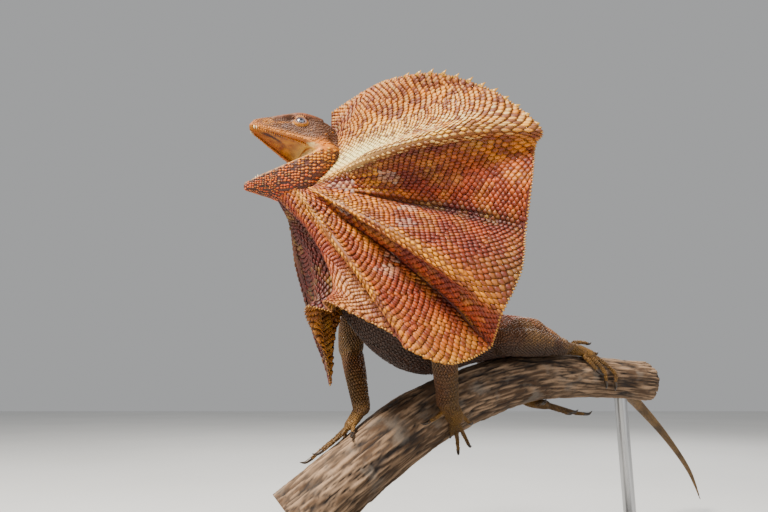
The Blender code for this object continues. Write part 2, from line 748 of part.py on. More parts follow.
def build():
    clear_scene()
    model = collection_named("frilled_lizard")

    def torso(grow=0.0):
        return tube(TORSO_LINE, 17, 16, grow, power=2.15)

    def neck(grow=0.0):
        return tube(NECK_LINE, 8, 15, grow, crown=Vector((1.0, 0.6, 0.0)))

    def upper_arm(side, grow=0.0):
        if side > 0:
            line = (LEFT_SHOULDER, LEFT_SHOULDER.lerp(LEFT_ELBOW, 0.5) + Vector((-2, -3, 0)), LEFT_ELBOW)
        else:
            line = (RIGHT_SHOULDER, RIGHT_SHOULDER.lerp(RIGHT_ELBOW, 0.5) + Vector((-3, 2, 0)),
                    RIGHT_ELBOW)
        return tube(limb_rows(line, (11.0, 9.5, 8.5)), 6, 11, grow, crown=Vector((1, 0, 0.2)))

    fuse("torso", [torso()], model, "back", [perch_mesh(GAP)])
    for side, suffix in ((1, "left"), (-1, "right")):
        fuse("eye_" + suffix, [ball(eye_centre(side), EYE_RADIUS)], model, "eye")

    head_pieces = [head_mesh()]
    head_cutters = []
    for side in (1, -1):
        head_pieces += [brow_mesh(side), lid_mesh(side)]
        head_cutters += [ball(eye_centre(side), EYE_RADIUS + GAP), nostril_cutter(side),
                         ear_cutter(side)]
    fuse("head", head_pieces + teeth_meshes(True), model, "head", head_cutters)
    fuse("lower_jaw", [jaw_mesh()] + teeth_meshes(False), model, "jaw", [head_mesh(GAP * 1.5)])

    tongue_rows = [(*head_point(f, 0, lower_lip(f) + lift), wide, high, high)
                   for f, lift, wide, high in ((8, -1.4, 5.0, 2.2), (14, -1.9, 5.8, 2.4),
                                               (21, -2.1, 5.2, 2.2), (28, -2.1, 3.8, 1.8),
                                               (32, -2.0, 2.4, 1.3))]
    fuse("tongue", [tube(tongue_rows, 7, 10, crown=CROWN)], model, "tongue",
         [jaw_mesh(GAP), head_mesh(GAP)])
    fuse("neck", [neck()], model, "head", [head_mesh(GAP), jaw_mesh(GAP), torso(GAP)])

    for side, suffix in ((1, "left"), (-1, "right")):
        sheet = frill_sheet(side)
        for name, start, end in zip(PANEL_NAMES, PANEL_CUTS, PANEL_CUTS[1:]):
            panel = frill_panel(side, sheet, start, end)
            fuse("frill_" + suffix + "_" + name, [panel], model, "frill",
                 [head_mesh(GAP), jaw_mesh(GAP), neck(GAP), torso(GAP), upper_arm(side, GAP)])

    def forearm(side, grow=0.0):
        if side > 0:
            wrist = perch_point(2.32, 16, 8.0)
            line = (LEFT_ELBOW, LEFT_ELBOW.lerp(wrist, 0.4) + Vector((0, -1, 1)), wrist)
        else:
            wrist = perch_point(1.56, 96, 8.5)
            line = (RIGHT_ELBOW, RIGHT_ELBOW.lerp(wrist, 0.4), wrist)
        return tube(limb_rows(line, (8.0, 7.8, 7.0) if side > 0 else (7.6, 7.2, 5.6)), 7, 11, grow,
                    crown=Vector((1, 0, 0.2)))

    def hand_pieces(side):
        if side > 0:
            palm = perch_path((2.32, 16, 8.0), (2.33, 0, 5.8), (2.34, -14, 4.4))
            fingers = (
                (((2.28, 8, 4.4), (2.13, 4, 3.4), (1.99, 4, 2.6)), 4.5),
                (((2.29, -14, 4.2), (2.26, -30, 3.4), (2.25, -42, 2.8)), 4.5),
                (((2.33, -18, 4.2), (2.33, -42, 4.4), (2.325, -60, 6.5), (2.32, -70, 9.0)), 5.5),
                (((2.36, -16, 4.2), (2.42, -40, 4.4), (2.48, -60, 6.5), (2.52, -70, 9.0)), 5.5),
                (((2.39, -2, 4.4), (2.49, -20, 3.8), (2.58, -38, 3.2)), 5.0),
            )
            wrist = 6.8
        else:
            palm = perch_path((1.56, 96, 8.5), (1.44, 98, 5.6), (1.34, 99, 4.2))
            fingers = (
                (((1.42, 106, 4.0), (1.32, 124, 3.2), (1.26, 138, 2.4)), 4.5),
                (((1.36, 103, 4.0), (1.18, 112, 3.2), (1.02, 118, 2.4)), 5.0),
                (((1.34, 99, 4.0), (1.12, 101, 3.2), (0.90, 101, 2.6), (0.74, 100, 2.3)), 5.5),
                (((1.35, 95, 4.0), (1.18, 90, 3.2), (1.00, 88, 2.6), (0.88, 86, 2.3)), 5.0),
                (((1.40, 90, 4.0), (1.32, 76, 3.2), (1.26, 66, 2.4)), 4.5),
            )
            wrist = 5.4
        pieces = [tube(limb_rows(palm, (wrist, wrist * 0.95, wrist * 0.8), 0.75), 5, 10, steps=1)]
        for stops, claw in fingers:
            pieces += digit_meshes(perch_path(*stops), FINGER, claw)
        return pieces

    for side, suffix in ((1, "left"), (-1, "right")):
        fuse("upper_arm_" + suffix, [upper_arm(side)], model, "limb", [torso(GAP), neck(GAP)])
        fuse("forearm_" + suffix, [forearm(side)], model, "limb",
             [upper_arm(side, GAP), torso(GAP), perch_mesh(GAP)])
        fuse("hand_" + suffix, hand_pieces(side), model, "limb",
             [forearm(side, GAP), perch_mesh(GAP)])

    def thigh(side, grow=0.0):
        if side > 0:
            line = (LEFT_HIP, LEFT_HIP.lerp(LEFT_KNEE, 0.5) + Vector((-3, -2, 2)), LEFT_KNEE)
        else:
            line = (RIGHT_HIP, RIGHT_HIP.lerp(RIGHT_KNEE, 0.5) + Vector((0, 2, 2)), RIGHT_KNEE)
        return tube(limb_rows(line, (12.5, 11.5, 8.8)), 7, 12, grow)

    def shin(side, grow=0.0):
        if side > 0:
            line = (LEFT_KNEE, LEFT_KNEE.lerp(LEFT_ANKLE, 0.45) + Vector((0, -3, 1)), LEFT_ANKLE)
        else:
            line = (RIGHT_KNEE, Vector((13, 77, 137)), perch_point(4.02, 200, 8.0))
        return tube(limb_rows(line, (9.4, 9.8, 6.2) if side > 0 else (8.6, 8.4, 5.8)), 7, 11, grow)

    def foot_pieces(side):
        if side > 0:
            sole = [LEFT_ANKLE, perch_point(4.72, 66, 5.6), perch_point(4.92, 56, 4.4)]
            toes = (
                (perch_path((4.74, 78, 9.0), (4.92, 84, 10.0), (5.04, 86, 9.5)), 4.0),
                (perch_path((4.78, 50, 4.2), (4.86, 30, 3.4), (4.92, 14, 2.6)), 5.0),
                (perch_path((4.88, 52, 4.2), (4.98, 28, 3.6), (5.05, 6, 2.8), (5.07, -12, 2.4)), 5.5),
                (perch_path((4.94, 56, 4.2), (5.08, 34, 3.8), (5.20, 8, 2.8), (5.22, -14, 2.4)), 6.0),
                (perch_path((4.92, 64, 4.2), (5.04, 76, 3.2), (5.16, 86, 2.6)), 4.5),
            )
        else:
            sole = perch_path((4.02, 200, 8.0), (4.14, 232, 4.8), (4.32, 258, 5.0))
            toes = (
                (perch_path((4.18, 250, 4.2), (4.14, 268, 3.4), (4.12, 284, 2.6)), 4.5),
                (perch_path((4.28, 256, 5.0), (4.46, 264, 8.0), (4.66, 268, 11.5)), 4.5),
                (perch_path((4.34, 254, 5.0), (4.56, 258, 8.0), (4.80, 261, 11.0)), 5.0),
                (perch_path((4.34, 250, 5.0), (4.60, 254, 8.5), (4.84, 258, 12.0), (5.02, 261, 13.0)),
                 6.0),
                (perch_path((4.20, 240, 4.2), (4.34, 228, 3.2), (4.46, 218, 2.6)), 5.0),
            )
        pieces = [tube(limb_rows(sole, (5.8, 5.6, 4.8), 0.72), 5, 10, steps=1)]
        for stops, claw in toes:
            pieces += digit_meshes(stops, TOE, claw)
        return pieces

    for side, suffix in ((1, "left"), (-1, "right")):
        fuse("thigh_" + suffix, [thigh(side)], model, "back", [torso(GAP), perch_mesh(GAP)])
        fuse("shin_" + suffix, [shin(side)], model, "limb",
             [thigh(side, GAP), torso(GAP), perch_mesh(GAP)])
        fuse("foot_" + suffix, foot_pieces(side), model, "limb",
             [shin(side, GAP), torso(GAP), perch_mesh(GAP)])

    for number, (start, end) in enumerate(zip(TAIL_CUTS, TAIL_CUTS[1:]), 1):
        inset = 0.006
        first = number == 1
        last = number == len(TAIL_CUTS) - 1
        piece = tube(TAIL_LINE, (7, 6, 6, 8)[number - 1], 11, start=start + (0 if first else inset),
                     end=end - (0 if last else inset), start_cap=1 if first else 0,
                     end_cap=1 if last else 0)
        cutters = [torso(GAP), perch_mesh(GAP)] if first else []
        fuse("tail_" + str(number), [piece], model, "tail", cutters)

    fuse("perch", [perch_mesh()], model, "bark")

    base = bmesh.new()
    bmesh.ops.create_cube(base, size=1.0)
    bmesh.ops.scale(base, vec=(BASE_LENGTH, BASE_WIDTH, BASE_THICKNESS), verts=base.verts)
    bmesh.ops.translate(base, vec=(0, 0, BASE_THICKNESS / 2), verts=base.verts)
    upright = [edge for edge in base.edges
               if abs(edge.verts[0].co.x - edge.verts[1].co.x) < 0.1
               and abs(edge.verts[0].co.y - edge.verts[1].co.y) < 0.1]
    bmesh.ops.bevel(base, geom=upright, offset=30.0, segments=6, affect="EDGES", profile=0.5)
    upper = [edge for edge in base.edges
             if min(vert.co.z for vert in edge.verts) > BASE_THICKNESS - 0.1]
    bmesh.ops.bevel(base, geom=upper, offset=BASE_BEVEL, segments=2, affect="EDGES", profile=0.5)
    fuse("stand_base", [base], model, "stand")

    for name, at in (("stand_rod_front", 0.95), ("stand_rod_back", 5.5)):
        row = smooth_row(PERCH_LINE, at)
        low = BASE_THICKNESS + GAP
        rod = bmesh.new()
        height = row[2] - low
        bmesh.ops.create_cone(rod, cap_ends=True, segments=20, radius1=ROD_RADIUS,
                              radius2=ROD_RADIUS, depth=height)
        bmesh.ops.translate(rod, vec=(row[0], row[1], low + height / 2), verts=rod.verts)
        fuse(name, [rod], model, "rod", [perch_mesh(GAP)])


build()
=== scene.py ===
"""The looks of a life-size frilled lizard: its skin, scales, eyes, teeth, claws, perch and stand.

Shapes are worked out in millimetres in the row's frame and scaled to metres as each piece is made.
The head and the frill use a frame of their own: f runs forward along the head, l to the animal's
left and u up through the crown.
"""

import math
import random

import bmesh
import bpy
import numpy as np
from mathutils import Matrix, Vector, noise
from mathutils.bvhtree import BVHTree
from mathutils.kdtree import KDTree


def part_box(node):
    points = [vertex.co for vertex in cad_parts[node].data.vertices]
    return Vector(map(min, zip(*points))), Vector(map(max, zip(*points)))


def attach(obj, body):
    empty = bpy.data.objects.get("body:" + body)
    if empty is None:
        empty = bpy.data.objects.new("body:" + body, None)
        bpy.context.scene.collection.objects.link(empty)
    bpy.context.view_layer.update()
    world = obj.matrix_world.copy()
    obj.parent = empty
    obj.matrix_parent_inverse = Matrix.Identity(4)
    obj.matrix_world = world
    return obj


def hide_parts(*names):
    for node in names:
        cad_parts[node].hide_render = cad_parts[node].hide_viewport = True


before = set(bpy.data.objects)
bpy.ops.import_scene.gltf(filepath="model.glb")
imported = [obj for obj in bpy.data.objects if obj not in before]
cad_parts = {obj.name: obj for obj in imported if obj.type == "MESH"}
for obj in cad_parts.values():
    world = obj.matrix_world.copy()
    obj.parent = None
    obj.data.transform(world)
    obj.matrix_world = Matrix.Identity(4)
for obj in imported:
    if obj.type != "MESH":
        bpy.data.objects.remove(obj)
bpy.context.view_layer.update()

# Driving dimensions, in millimetres and degrees, as the solids have them.
MM = 0.001
UP = Vector((0.0, 0.0, 1.0))
HUB = Vector((-123.9, -51.7, 257.3))
HEAD_YAW = 30.0
HEAD_ROLL = 11.0
JAW_LENGTH = 41.0
MOUTH_CORNER = (-2.7, 4.6)
UPPER_LIP_SLOPE = 0.36
LOWER_LIP_SLOPE = -0.53
EYE_AT = (10.2, 10.5, 22.2)
EYE_RADIUS = 3.8
LID_RADIUS = 3.2
# Rings of beads round the eye: radius, count and size.
EYE_BEADS = ((3.1, 24, 0.6), (3.85, 28, 0.8), (4.6, 30, 1.0), (5.5, 32, 1.1))
NOSTRIL_AT = (29.5, 6.2, 23.4)
# Lines of body scales lie this share of their pitch apart, and no two roots lie closer than this.
LINE_STEP = 0.86
ROOT_SPACING = 0.62
# How far a scale may drop to reach the skin.
LANDING_REACH = 2.6
BASE_THICKNESS = 14.0
ROD_RADIUS = 4.5
SKIN_DEPTH = 0.45
VOXEL = 0.8
MEMBRANE = 0.5

FORWARD = Vector((-math.cos(math.radians(HEAD_YAW)), -math.sin(math.radians(HEAD_YAW)), 0.0))
LEVEL_LEFT = UP.cross(FORWARD)
LEFT = LEVEL_LEFT * math.cos(math.radians(HEAD_ROLL)) + UP * math.sin(math.radians(HEAD_ROLL))
CROWN = FORWARD.cross(LEFT)

# The camera and the lamps' aim, in metres and degrees.
CAMERA_AT = (-0.079, -0.400, 0.125)
CAMERA_TILT = 12.4
CAMERA_LENS = 28.125
CAMERA_SENSOR = 36.0
LAMPS_AIM = (-0.08, -0.02, 0.22)

# The perch's centre line: x, y, z, radius.
PERCH_LINE = (
    (-131, -27, 48, 20.5),
    (-100, -17, 73.5, 20.0),
    (-59, -1, 103.5, 19.5),
    (-18, 15, 122, 18.0),
    (25, 37, 132, 17.0),
    (72, 59, 133, 14.8),
    (126, 82, 130, 14.8),
)
# Body sections along the spine: x, y, z, half width, rise above and drop below the centre.
TORSO_LINE = (
    (-94, -31, 193, 17, 17, 17),
    (-85, -25, 182, 23, 20, 23),
    (-68, -14, 168, 26, 21, 27),
    (-49, -2, 160, 27, 20, 27),
    (-22, 14, 158, 24, 18, 17),
    (0, 27, 160, 21, 16, 15),
    (20, 39, 162, 19, 13, 12.5),
    (36, 50, 160, 15, 10, 10.5),
    (47, 58, 157, 11, 8.5, 9),
)
NECK_LINE = (
    (-113, -45, 265, 13, 12, 12),
    (-108, -42, 254, 15, 15, 15),
    (-102, -37, 237, 16, 17, 16),
    (-97, -33, 217, 16, 17, 17),
    (-91, -29, 199, 18, 18, 18),
    (-84, -24, 184, 20, 18, 18),
)
TAIL_LINE = (
    (44, 56, 157.5, 11, 9, 9),
    (62, 72, 150, 10.5, 9.2, 9.5),
    (84, 91, 139, 9.2, 8.6, 8.6),
    (106, 118, 135, 7.6, 7.4, 7.4),
    (130, 144, 126, 6.1, 6.0, 6.0),
    (159, 177, 109, 4.8, 4.8, 4.8),
    (196, 209, 78, 3.5, 3.5, 3.5),
    (228, 237, 44, 2.4, 2.4, 2.4),
    (245, 254, 13.5, 0.9, 0.9, 0.9),
)
# Head sections: f, half width, height of the brow, depth under the lip plane.
HEAD_LINE = (
    (-19, 11.0, 24.0, 9.0),
    (-13, 15.6, 30.0, 15.0),
    (-6, 18.6, 32.6, 13.0),
    (1, 18.2, 33.6, 4.0),
    (8, 15.6, 33.2, 0.0),
    (16, 12.6, 31.6, 0.0),
    (24, 9.4, 29.8, 0.0),
    (31, 6.4, 27.6, 0.0),
    (35.5, 4.4, 25.4, 0.0),
    (38.0, 2.4, 22.8, 0.0),
)
# Lower jaw sections: f, half width, depth of the jaw under its lip.
JAW_LINE = (
    (-7, 17.4, 21.0),
    (0, 18.0, 27.0),
    (8, 15.8, 27.0),
    (17, 12.8, 21.5),
    (26, 9.2, 15.0),
    (34, 5.8, 9.8),
    (39, 3.4, 6.6),
    (42, 1.8, 4.6),
)
BROW_LINE = ((-4, 11.6, 27.4, 1.5), (4, 11.4, 28.2, 2.0), (11, 10.4, 28.2, 2.2),
             (18, 8.3, 27.4, 1.7), (26, 5.6, 25.8, 1.3))
TONGUE_LINE = ((8, -1.4, 5.0, 2.2), (14, -1.9, 5.8, 2.4), (21, -2.1, 5.2, 2.2),
               (28, -2.1, 3.8, 1.8), (32, -2.0, 2.4, 1.3))

# Each fold of the frill: its name, root (f, l, u), the rim's angle from the crown, its reach, how
# far back the rim lies, and how far the fold's middle bows forward and sideways.
FOLDS = (
    ("nape", (-14, 3, 21), 11, 38.5, 13, 0, 0),
    ("crest", (-15, 8, 18), 33, 53, 27, 1, 0),
    ("upper_1", (-13, 10, 14), 51, 63, 33, 3, -1),
    ("upper_2", (-11, 12, 9), 66, 78, 46, -6, 0),
    ("upper_3", (-9, 12, 2), 77, 88, 60, -4, 2),
    ("upper_4", (-5, 11, -8), 87, 97, 73, 4, 2),
    ("ridge_1", (3, 10, -17), 100, 108, 86, 21, -1),
    ("under_1", (4, 10, -18), 103, 100, 89, 5, 1),
    ("hollow_1", (5, 10, -18.5), 116, 109, 80, -5, -1),
    ("crease_1", (6, 9.5, -18.5), 128.5, 108, 83, -10, -2),
    ("slope_1", (7, 9, -19), 137, 127, 72, 2, -4),
    ("ridge_2", (8, 9, -19), 146, 136, 64, 11, -8),
    ("under_2", (9.5, 8.5, -19), 153, 136, 69, -2, -2),
    ("crease_2", (11, 8, -19), 157, 136, 70, -8, -2),
    ("lobe", (13, 7, -19), 158.5, 143, 46, 2, -2),
    ("ridge_4", (15, 6.5, -18.5), 160, 132, 26, 2, -4),
    ("crease_3", (19, 5, -18), 163.5, 118, 26, -9, 0),
    ("ridge_5", (24, 3.5, -17), 169, 95, -3, -11, 3),
    ("throat", (30, 0, -17), 180, 92, 8, -19, 0),
)
RIGHT_RIMS = {
    "crease_1": (127, 108, 88, -8, -5),
    "slope_1": (131, 112, 97, 0, -3),
    "ridge_2": (136, 108, 102, 8, -4),
    "under_2": (141, 100, 74, 4, -2),
    "crease_2": (148, 92, 44, 0, 0),
    "lobe": (154, 100, 31, 2, 0),
    "crease_3": (165, 114, 16, -6, 0),
    "ridge_5": (169, 88, -1, -11, 3),
}
# Makes the bow of a fold 1 at its fullest place.
BOW_SCALE = 5.38
FRILL_COLUMNS = 45
FRILL_ROWS = 8
# Spaces the sheet's rows a little closer toward the rim.
ROW_EASE = 0.9
LAST_FOLD = len(FOLDS) - 1
MEMBRANE_COLUMNS = 270
MEMBRANE_ROWS = 56
FRILL_SCALE = 4.3
FRILL_SCALE_ROWS = 72
LATTICE_ROWS = 12
FIRST_ROW = 0.04
ROW_SPAN = 0.95
# Places at which a line across the frill is measured.
FINE_PLACES = 1441
FRILL_NODES = ("upper", "side", "lower", "throat")
# Where the frill's skin stands up in a sharp fold or sinks in a crease: place, height, spread
# before and after.
SHARP_FOLDS = ((6.0, 3.4, 0.55, 0.12), (11.0, 2.8, 0.50, 0.12), (15.0, 2.2, 0.45, 0.12),
               (17.0, 1.2, 0.25, 0.15), (6.35, -1.3, 0.12, 0.30), (9.0, -2.6, 0.14, 0.22),
               (11.35, -1.3, 0.12, 0.30), (12.7, -1.8, 0.20, 0.20), (15.3, -1.2, 0.12, 0.30))

FINGER = 1.9
TOE = 2.1
LEFT_SHOULDER = Vector((-74, -40, 179))
LEFT_ELBOW = Vector((-44, -40, 150))
RIGHT_SHOULDER = Vector((-92, -8, 180))
RIGHT_ELBOW = Vector((-101, 5, 151))
LEFT_HIP = Vector((26, 33, 162))
LEFT_KNEE = Vector((0, 3, 155))
LEFT_ANKLE = Vector((49, 35, 154))
RIGHT_HIP = Vector((14, 50, 162))
RIGHT_KNEE = Vector((0, 76, 150))
RIGHT_CALF = Vector((13, 77, 137))
# Radii at a limb's start, middle and end.
UPPER_ARM = (11.0, 9.5, 8.5)
THIGH = (12.5, 11.5, 8.8)
SOLE = (5.8, 5.6, 4.8)
SHOULDER_LINE = ((*RIGHT_SHOULDER, 11, 11), (*RIGHT_ELBOW, 8.5, 8.5))

# How much stronger and how much darker every named colour is made, to hold up in the studio light.
VIVID = 1.38
DEPTH = 0.72


def paint(red, green, blue):
    """A colour named as 0 to 255, as the linear light that a shader takes, a little richer."""
    light = np.array([((c / 255 + 0.055) / 1.055) ** 2.4 for c in (red, green, blue)])
    grey = light @ np.array([0.30, 0.59, 0.11])
    return np.maximum((grey + (light - grey) * VIVID) * DEPTH, 0.002)


GOLD = paint(216, 146, 74)
AMBER = paint(232, 166, 86)
CREAM = np.minimum(paint(255, 236, 186) * 1.36, 0.97)
PALE_YELLOW = paint(248, 212, 140)
YELLOW = paint(244, 182, 72)
RUST = paint(178, 88, 40)
MAROON = paint(98, 38, 26)
PLUM = paint(112, 66, 58)
TAN = paint(192, 138, 84)
BROWN_TAN = paint(136, 90, 56)
DARK_RUST = paint(104, 46, 24)
DEEP_BROWN = paint(58, 26, 14)
PINK_CREAM = paint(226, 176, 140)
SHED_SKIN = paint(212, 204, 194)
HEAD_BROWN = paint(116, 80, 58)
HEAD_DARK = paint(66, 42, 32)
HEAD_RUST = paint(180, 108, 62)
PALATE = paint(138, 82, 24)
# Painted shade for the body's undersides.
UNDERSIDE_SHADE = paint(44, 29, 20)
BACK_BROWN = paint(104, 68, 44)
BACK_RUST = paint(160, 86, 54)
BEIGE = paint(168, 132, 96)
OLIVE = paint(98, 74, 44)
FOOT_OCHRE = paint(132, 100, 62)
TAIL_TAN = paint(146, 118, 84)
TAIL_DARK = paint(86, 66, 44)


def head_point(f, l, u):
    """A point of the head's own frame, in world millimetres."""
    return HUB + FORWARD * f + LEFT * l + CROWN * u


def head_place(point):
    """A world point, in the head's own frame."""
    offset = point - HUB
    return offset.dot(FORWARD), offset.dot(LEFT), offset.dot(CROWN)


def smooth_row(rows, at):
    """The row of numbers at a fractional place along a table, on a curve through all its rows."""
    last = len(rows) - 1
    at = min(max(at, 0.0), float(last))
    low = min(int(at), last - 1)
    t = at - low
    before = rows[max(low - 1, 0)]
    first = rows[low]
    second = rows[low + 1]
    after = rows[min(low + 2, last)]
    return [
        0.5 * (2 * b + (c - a) * t + (2 * a - 5 * b + 4 * c - d) * t * t
               + (3 * b - a - 3 * c + d) * t * t * t)
        for a, b, c, d in zip(before, first, second, after)
    ]


def oval(turn, half_width, rise, drop, power):
    """A point of a rounded section: power 2 is an ellipse, and more is squarer."""
    across = math.cos(turn)
    upward = math.sin(turn)
    x = math.copysign(abs(across) ** (2 / power), across) * half_width
    z = math.copysign(abs(upward) ** (2 / power), upward) * (rise if upward >= 0 else drop)
    return x, z


def face_outward(bm):
    """Turn every face of a closed mesh outward."""
    bmesh.ops.recalc_face_normals(bm, faces=bm.faces)
    if bm.calc_volume(signed=True) < 0:
        bmesh.ops.reverse_faces(bm, faces=bm.faces)


def moved_ball(rings, sides, place):
    """A closed skin: a ball whose every vertex moves to the place its ring and turn give."""
    bm = bmesh.new()
    bmesh.ops.create_uvsphere(bm, u_segments=sides, v_segments=rings, radius=1.0)
    for vert in bm.verts:
        ring = round(math.acos(max(-1.0, min(1.0, vert.co.z))) / math.pi * rings)
        turn = math.atan2(vert.co.y, vert.co.x)
        vert.co = place(ring, turn)
    face_outward(bm)
    return bm


def section_at(rows, at, crown):
    """The middle, the directions along, aside and up, and the half sizes of a body at a place."""
    row = smooth_row(rows, at)
    behind = Vector(smooth_row(rows, at - 0.05)[:3])
    ahead = Vector(smooth_row(rows, at + 0.05)[:3])
    along = (ahead - behind).normalized()
    side = along.cross(crown).normalized()
    return Vector(row[:3]), along, side, side.cross(along).normalized(), row[3:]


def section_point(section, turn, grow, power, swell=1.0, shift=0.0):
    centre, along, side, up, (half_width, rise, drop) = section
    x, z = oval(turn, half_width + grow, rise + grow, drop + grow, power)
    return centre + along * shift + (side * x + up * z) * swell


class Flesh:
    """One rounded length of the body: its line, which way is up, and how its scales lie on it."""

    def __init__(self, region, rows, crown=UP, power=2.0, rings=48, sides=36, pitch=1.9, coat="trunk",
                 round_start=True, round_end=True):
        self.region = region
        self.rows = rows
        self.crown = crown
        self.power = power
        self.rings = rings
        self.sides = sides
        self.pitch = pitch
        self.coat = coat
        self.round_start = round_start
        self.round_end = round_end

    def form(self, grow=0.0, caps=4):
        last_row = len(self.rows) - 1
        body_rings = self.rings - 2 * caps
        sections = [section_at(self.rows, last_row * i / body_rings, self.crown)
                    for i in range(body_rings + 1)]

        def place(ring, turn):
            if ring < caps:
                section = sections[0]
                reach = sum(section[4][1:]) / 2 + grow
                bend = math.pi / 2 * ring / caps
                if not self.round_start:
                    return section_point(section, turn, grow, self.power, ring / caps)
                return section_point(section, turn, grow, self.power, math.sin(bend),
                                     -reach * math.cos(bend))
            if ring > self.rings - caps:
                section = sections[-1]
                reach = sum(section[4][1:]) / 2 + grow
                bend = math.pi / 2 * (self.rings - ring) / caps
                if not self.round_end:
                    return section_point(section, turn, grow, self.power, (self.rings - ring) / caps)
                return section_point(section, turn, grow, self.power, math.sin(bend),
                                     reach * math.cos(bend))
            return section_point(sections[ring - caps], turn, grow, self.power)

        return moved_ball(self.rings, self.sides, place)


def limb_rows(points, radii, flatten=1.0):
    return [(*point, radius, radius * flatten, radius * flatten) for point, radius in zip(points, radii)]


# The perch


def bark_swell(at, turn):
    """The bark's broad furrows and swellings, as the solid has them, as a factor on the radius."""
    twist = turn + 0.25 * at
    furrow = 0.035 * math.sin(5 * twist + 1.3 * math.sin(1.7 * at))
    knot = 0.05 * noise.noise(Vector((at * 1.3, math.cos(twist) * 1.2, math.sin(twist) * 1.2)))
    return 1.0 + furrow + knot


def perch_point(at, degrees, lift):
    """A point above the bark: 0 degrees faces the viewer and 90 is up."""
    row = smooth_row(PERCH_LINE, at)
    behind = Vector(smooth_row(PERCH_LINE, at - 0.05)[:3])
    ahead = Vector(smooth_row(PERCH_LINE, at + 0.05)[:3])
    along = (ahead - behind).normalized()
    side = along.cross(UP).normalized()
    up = side.cross(along).normalized()
    turn = math.radians(degrees)
    swell = bark_swell(at, turn)
    return Vector(row[:3]) + (side * math.cos(turn) + up * math.sin(turn)) * (row[3] * swell + lift)


def perch_path(*stops):
    return [perch_point(*stop) for stop in stops]


# The head's lines


def upper_lip(f):
    return MOUTH_CORNER[1] + UPPER_LIP_SLOPE * max(f - MOUTH_CORNER[0], 0.0)


def lower_lip(f):
    return MOUTH_CORNER[1] + LOWER_LIP_SLOPE * max(f - MOUTH_CORNER[0], 0.0)


def place_on_line(line, f):
    """How far along a head table a place f lies."""
    place = 0.0
    while place < len(line) - 1 and smooth_row(line, place)[0] < f:
        place += 0.02
    return place


def head_surface(place, turn, grow):
    """A point of the skull and upper jaw, with a flat brow and a lip round a hollow palate."""
    f, half_width, brow, below = smooth_row(HEAD_LINE, place)
    lip = upper_lip(f)
    hollow = min(max(f / 6.0, 0.0), 1.0) * min(2.6, half_width * 0.4)
    if math.sin(turn) >= 0:
        x, z = oval(turn, half_width + grow, brow - lip + grow, 0, 2.35)
        x *= 1.0 - 0.16 * min(z / max(brow - lip, 1.0), 1.0)
        z += lip
    else:
        x, z = oval(turn, half_width + grow, 0, below + 1.2 + grow, 2.6)
        inside = max(1.0 - (abs(x) / (half_width + grow) / 0.82) ** 4, 0.0)
        z = lip + z + hollow * 1.6 * inside
    return head_point(f, x, z)


def jaw_surface(place, turn, grow):
    """A point of the lower jaw, with a lip round a hollow floor and a keel of skin under it."""
    f, half_width, depth = smooth_row(JAW_LINE, place)
    lip = lower_lip(f)
    hollow = min(max((f - 4.0) / 6.0, 0.0), 1.0) * min(3.0, half_width * 0.35)
    if math.sin(turn) >= 0:
        x, z = oval(turn, half_width + grow, 1.2 + grow, 0, 2.6)
        inside = max(1.0 - (abs(x) / (half_width + grow) / 0.82) ** 4, 0.0)
        z = lip + z - hollow * 1.6 * inside
    else:
        x, z = oval(turn, half_width + grow, 0, depth + grow, 1.9)
        z += lip
    return head_point(f, x, z)


def head_form(grow):
    rings = 64
    last = len(HEAD_LINE) - 1

    def place(ring, turn):
        if ring == 0:
            return head_point(HEAD_LINE[0][0] - 3.0 - grow, 0, 15)
        if ring == rings:
            return head_point(HEAD_LINE[-1][0] + 1.6 + grow, 0, 20.6)
        return head_surface(last * (ring - 1) / (rings - 2), turn, grow)

    return moved_ball(rings, 64, place)


def jaw_form(grow):
    rings = 56
    last = len(JAW_LINE) - 1

    def place(ring, turn):
        if ring == 0:
            return head_point(JAW_LINE[0][0] - 2.5 - grow, 0, -6)
        if ring == rings:
            return head_point(JAW_LINE[-1][0] + 1.2 + grow, 0, lower_lip(JAW_LENGTH) - 1.5)
        return jaw_surface(last * (ring - 1) / (rings - 2), turn, grow)

    return moved_ball(rings, 56, place)


def eye_centre(side):
    return head_point(EYE_AT[0], EYE_AT[1] * side, EYE_AT[2])


def nostril_centre(l):
    """The nostril on the same side of the head as a place l to the left."""
    return head_point(NOSTRIL_AT[0], math.copysign(NOSTRIL_AT[1], l), NOSTRIL_AT[2])


def eye_axes(side):
    """The way one eye looks, with the directions across and up its opening."""
    outward = (LEFT * side * 0.93 + CROWN * 0.30 + FORWARD * 0.20).normalized()
    across = outward.cross(CROWN).normalized()
    return outward, across, across.cross(outward).normalized()


def lid_form(side, radius, thickness, lift):
    """A soft ring of lid skin round one eye."""
    outward, across, upward = eye_axes(side)
    centre = eye_centre(side) + outward * lift
    bm = bmesh.new()
    start = centre + across * radius * 1.12
    bmesh.ops.create_circle(bm, segments=10, radius=thickness)
    turn = (across.cross(outward)).to_track_quat("Z", "Y").to_matrix()
    bmesh.ops.rotate(bm, cent=(0, 0, 0), matrix=turn, verts=bm.verts)
    bmesh.ops.translate(bm, vec=start, verts=bm.verts)
    bmesh.ops.spin(bm, geom=bm.edges[:], cent=centre, axis=outward, angle=2 * math.pi, steps=32,
                   use_merge=True)
    for vert in bm.verts:
        offset = vert.co - centre
        sideways = offset.dot(across)
        vert.co -= upward * offset.dot(upward) * 0.10
        vert.co -= outward * 0.35 * (sideways / radius) ** 2
    bmesh.ops.remove_doubles(bm, verts=bm.verts, dist=0.001)
    face_outward(bm)
    return bm


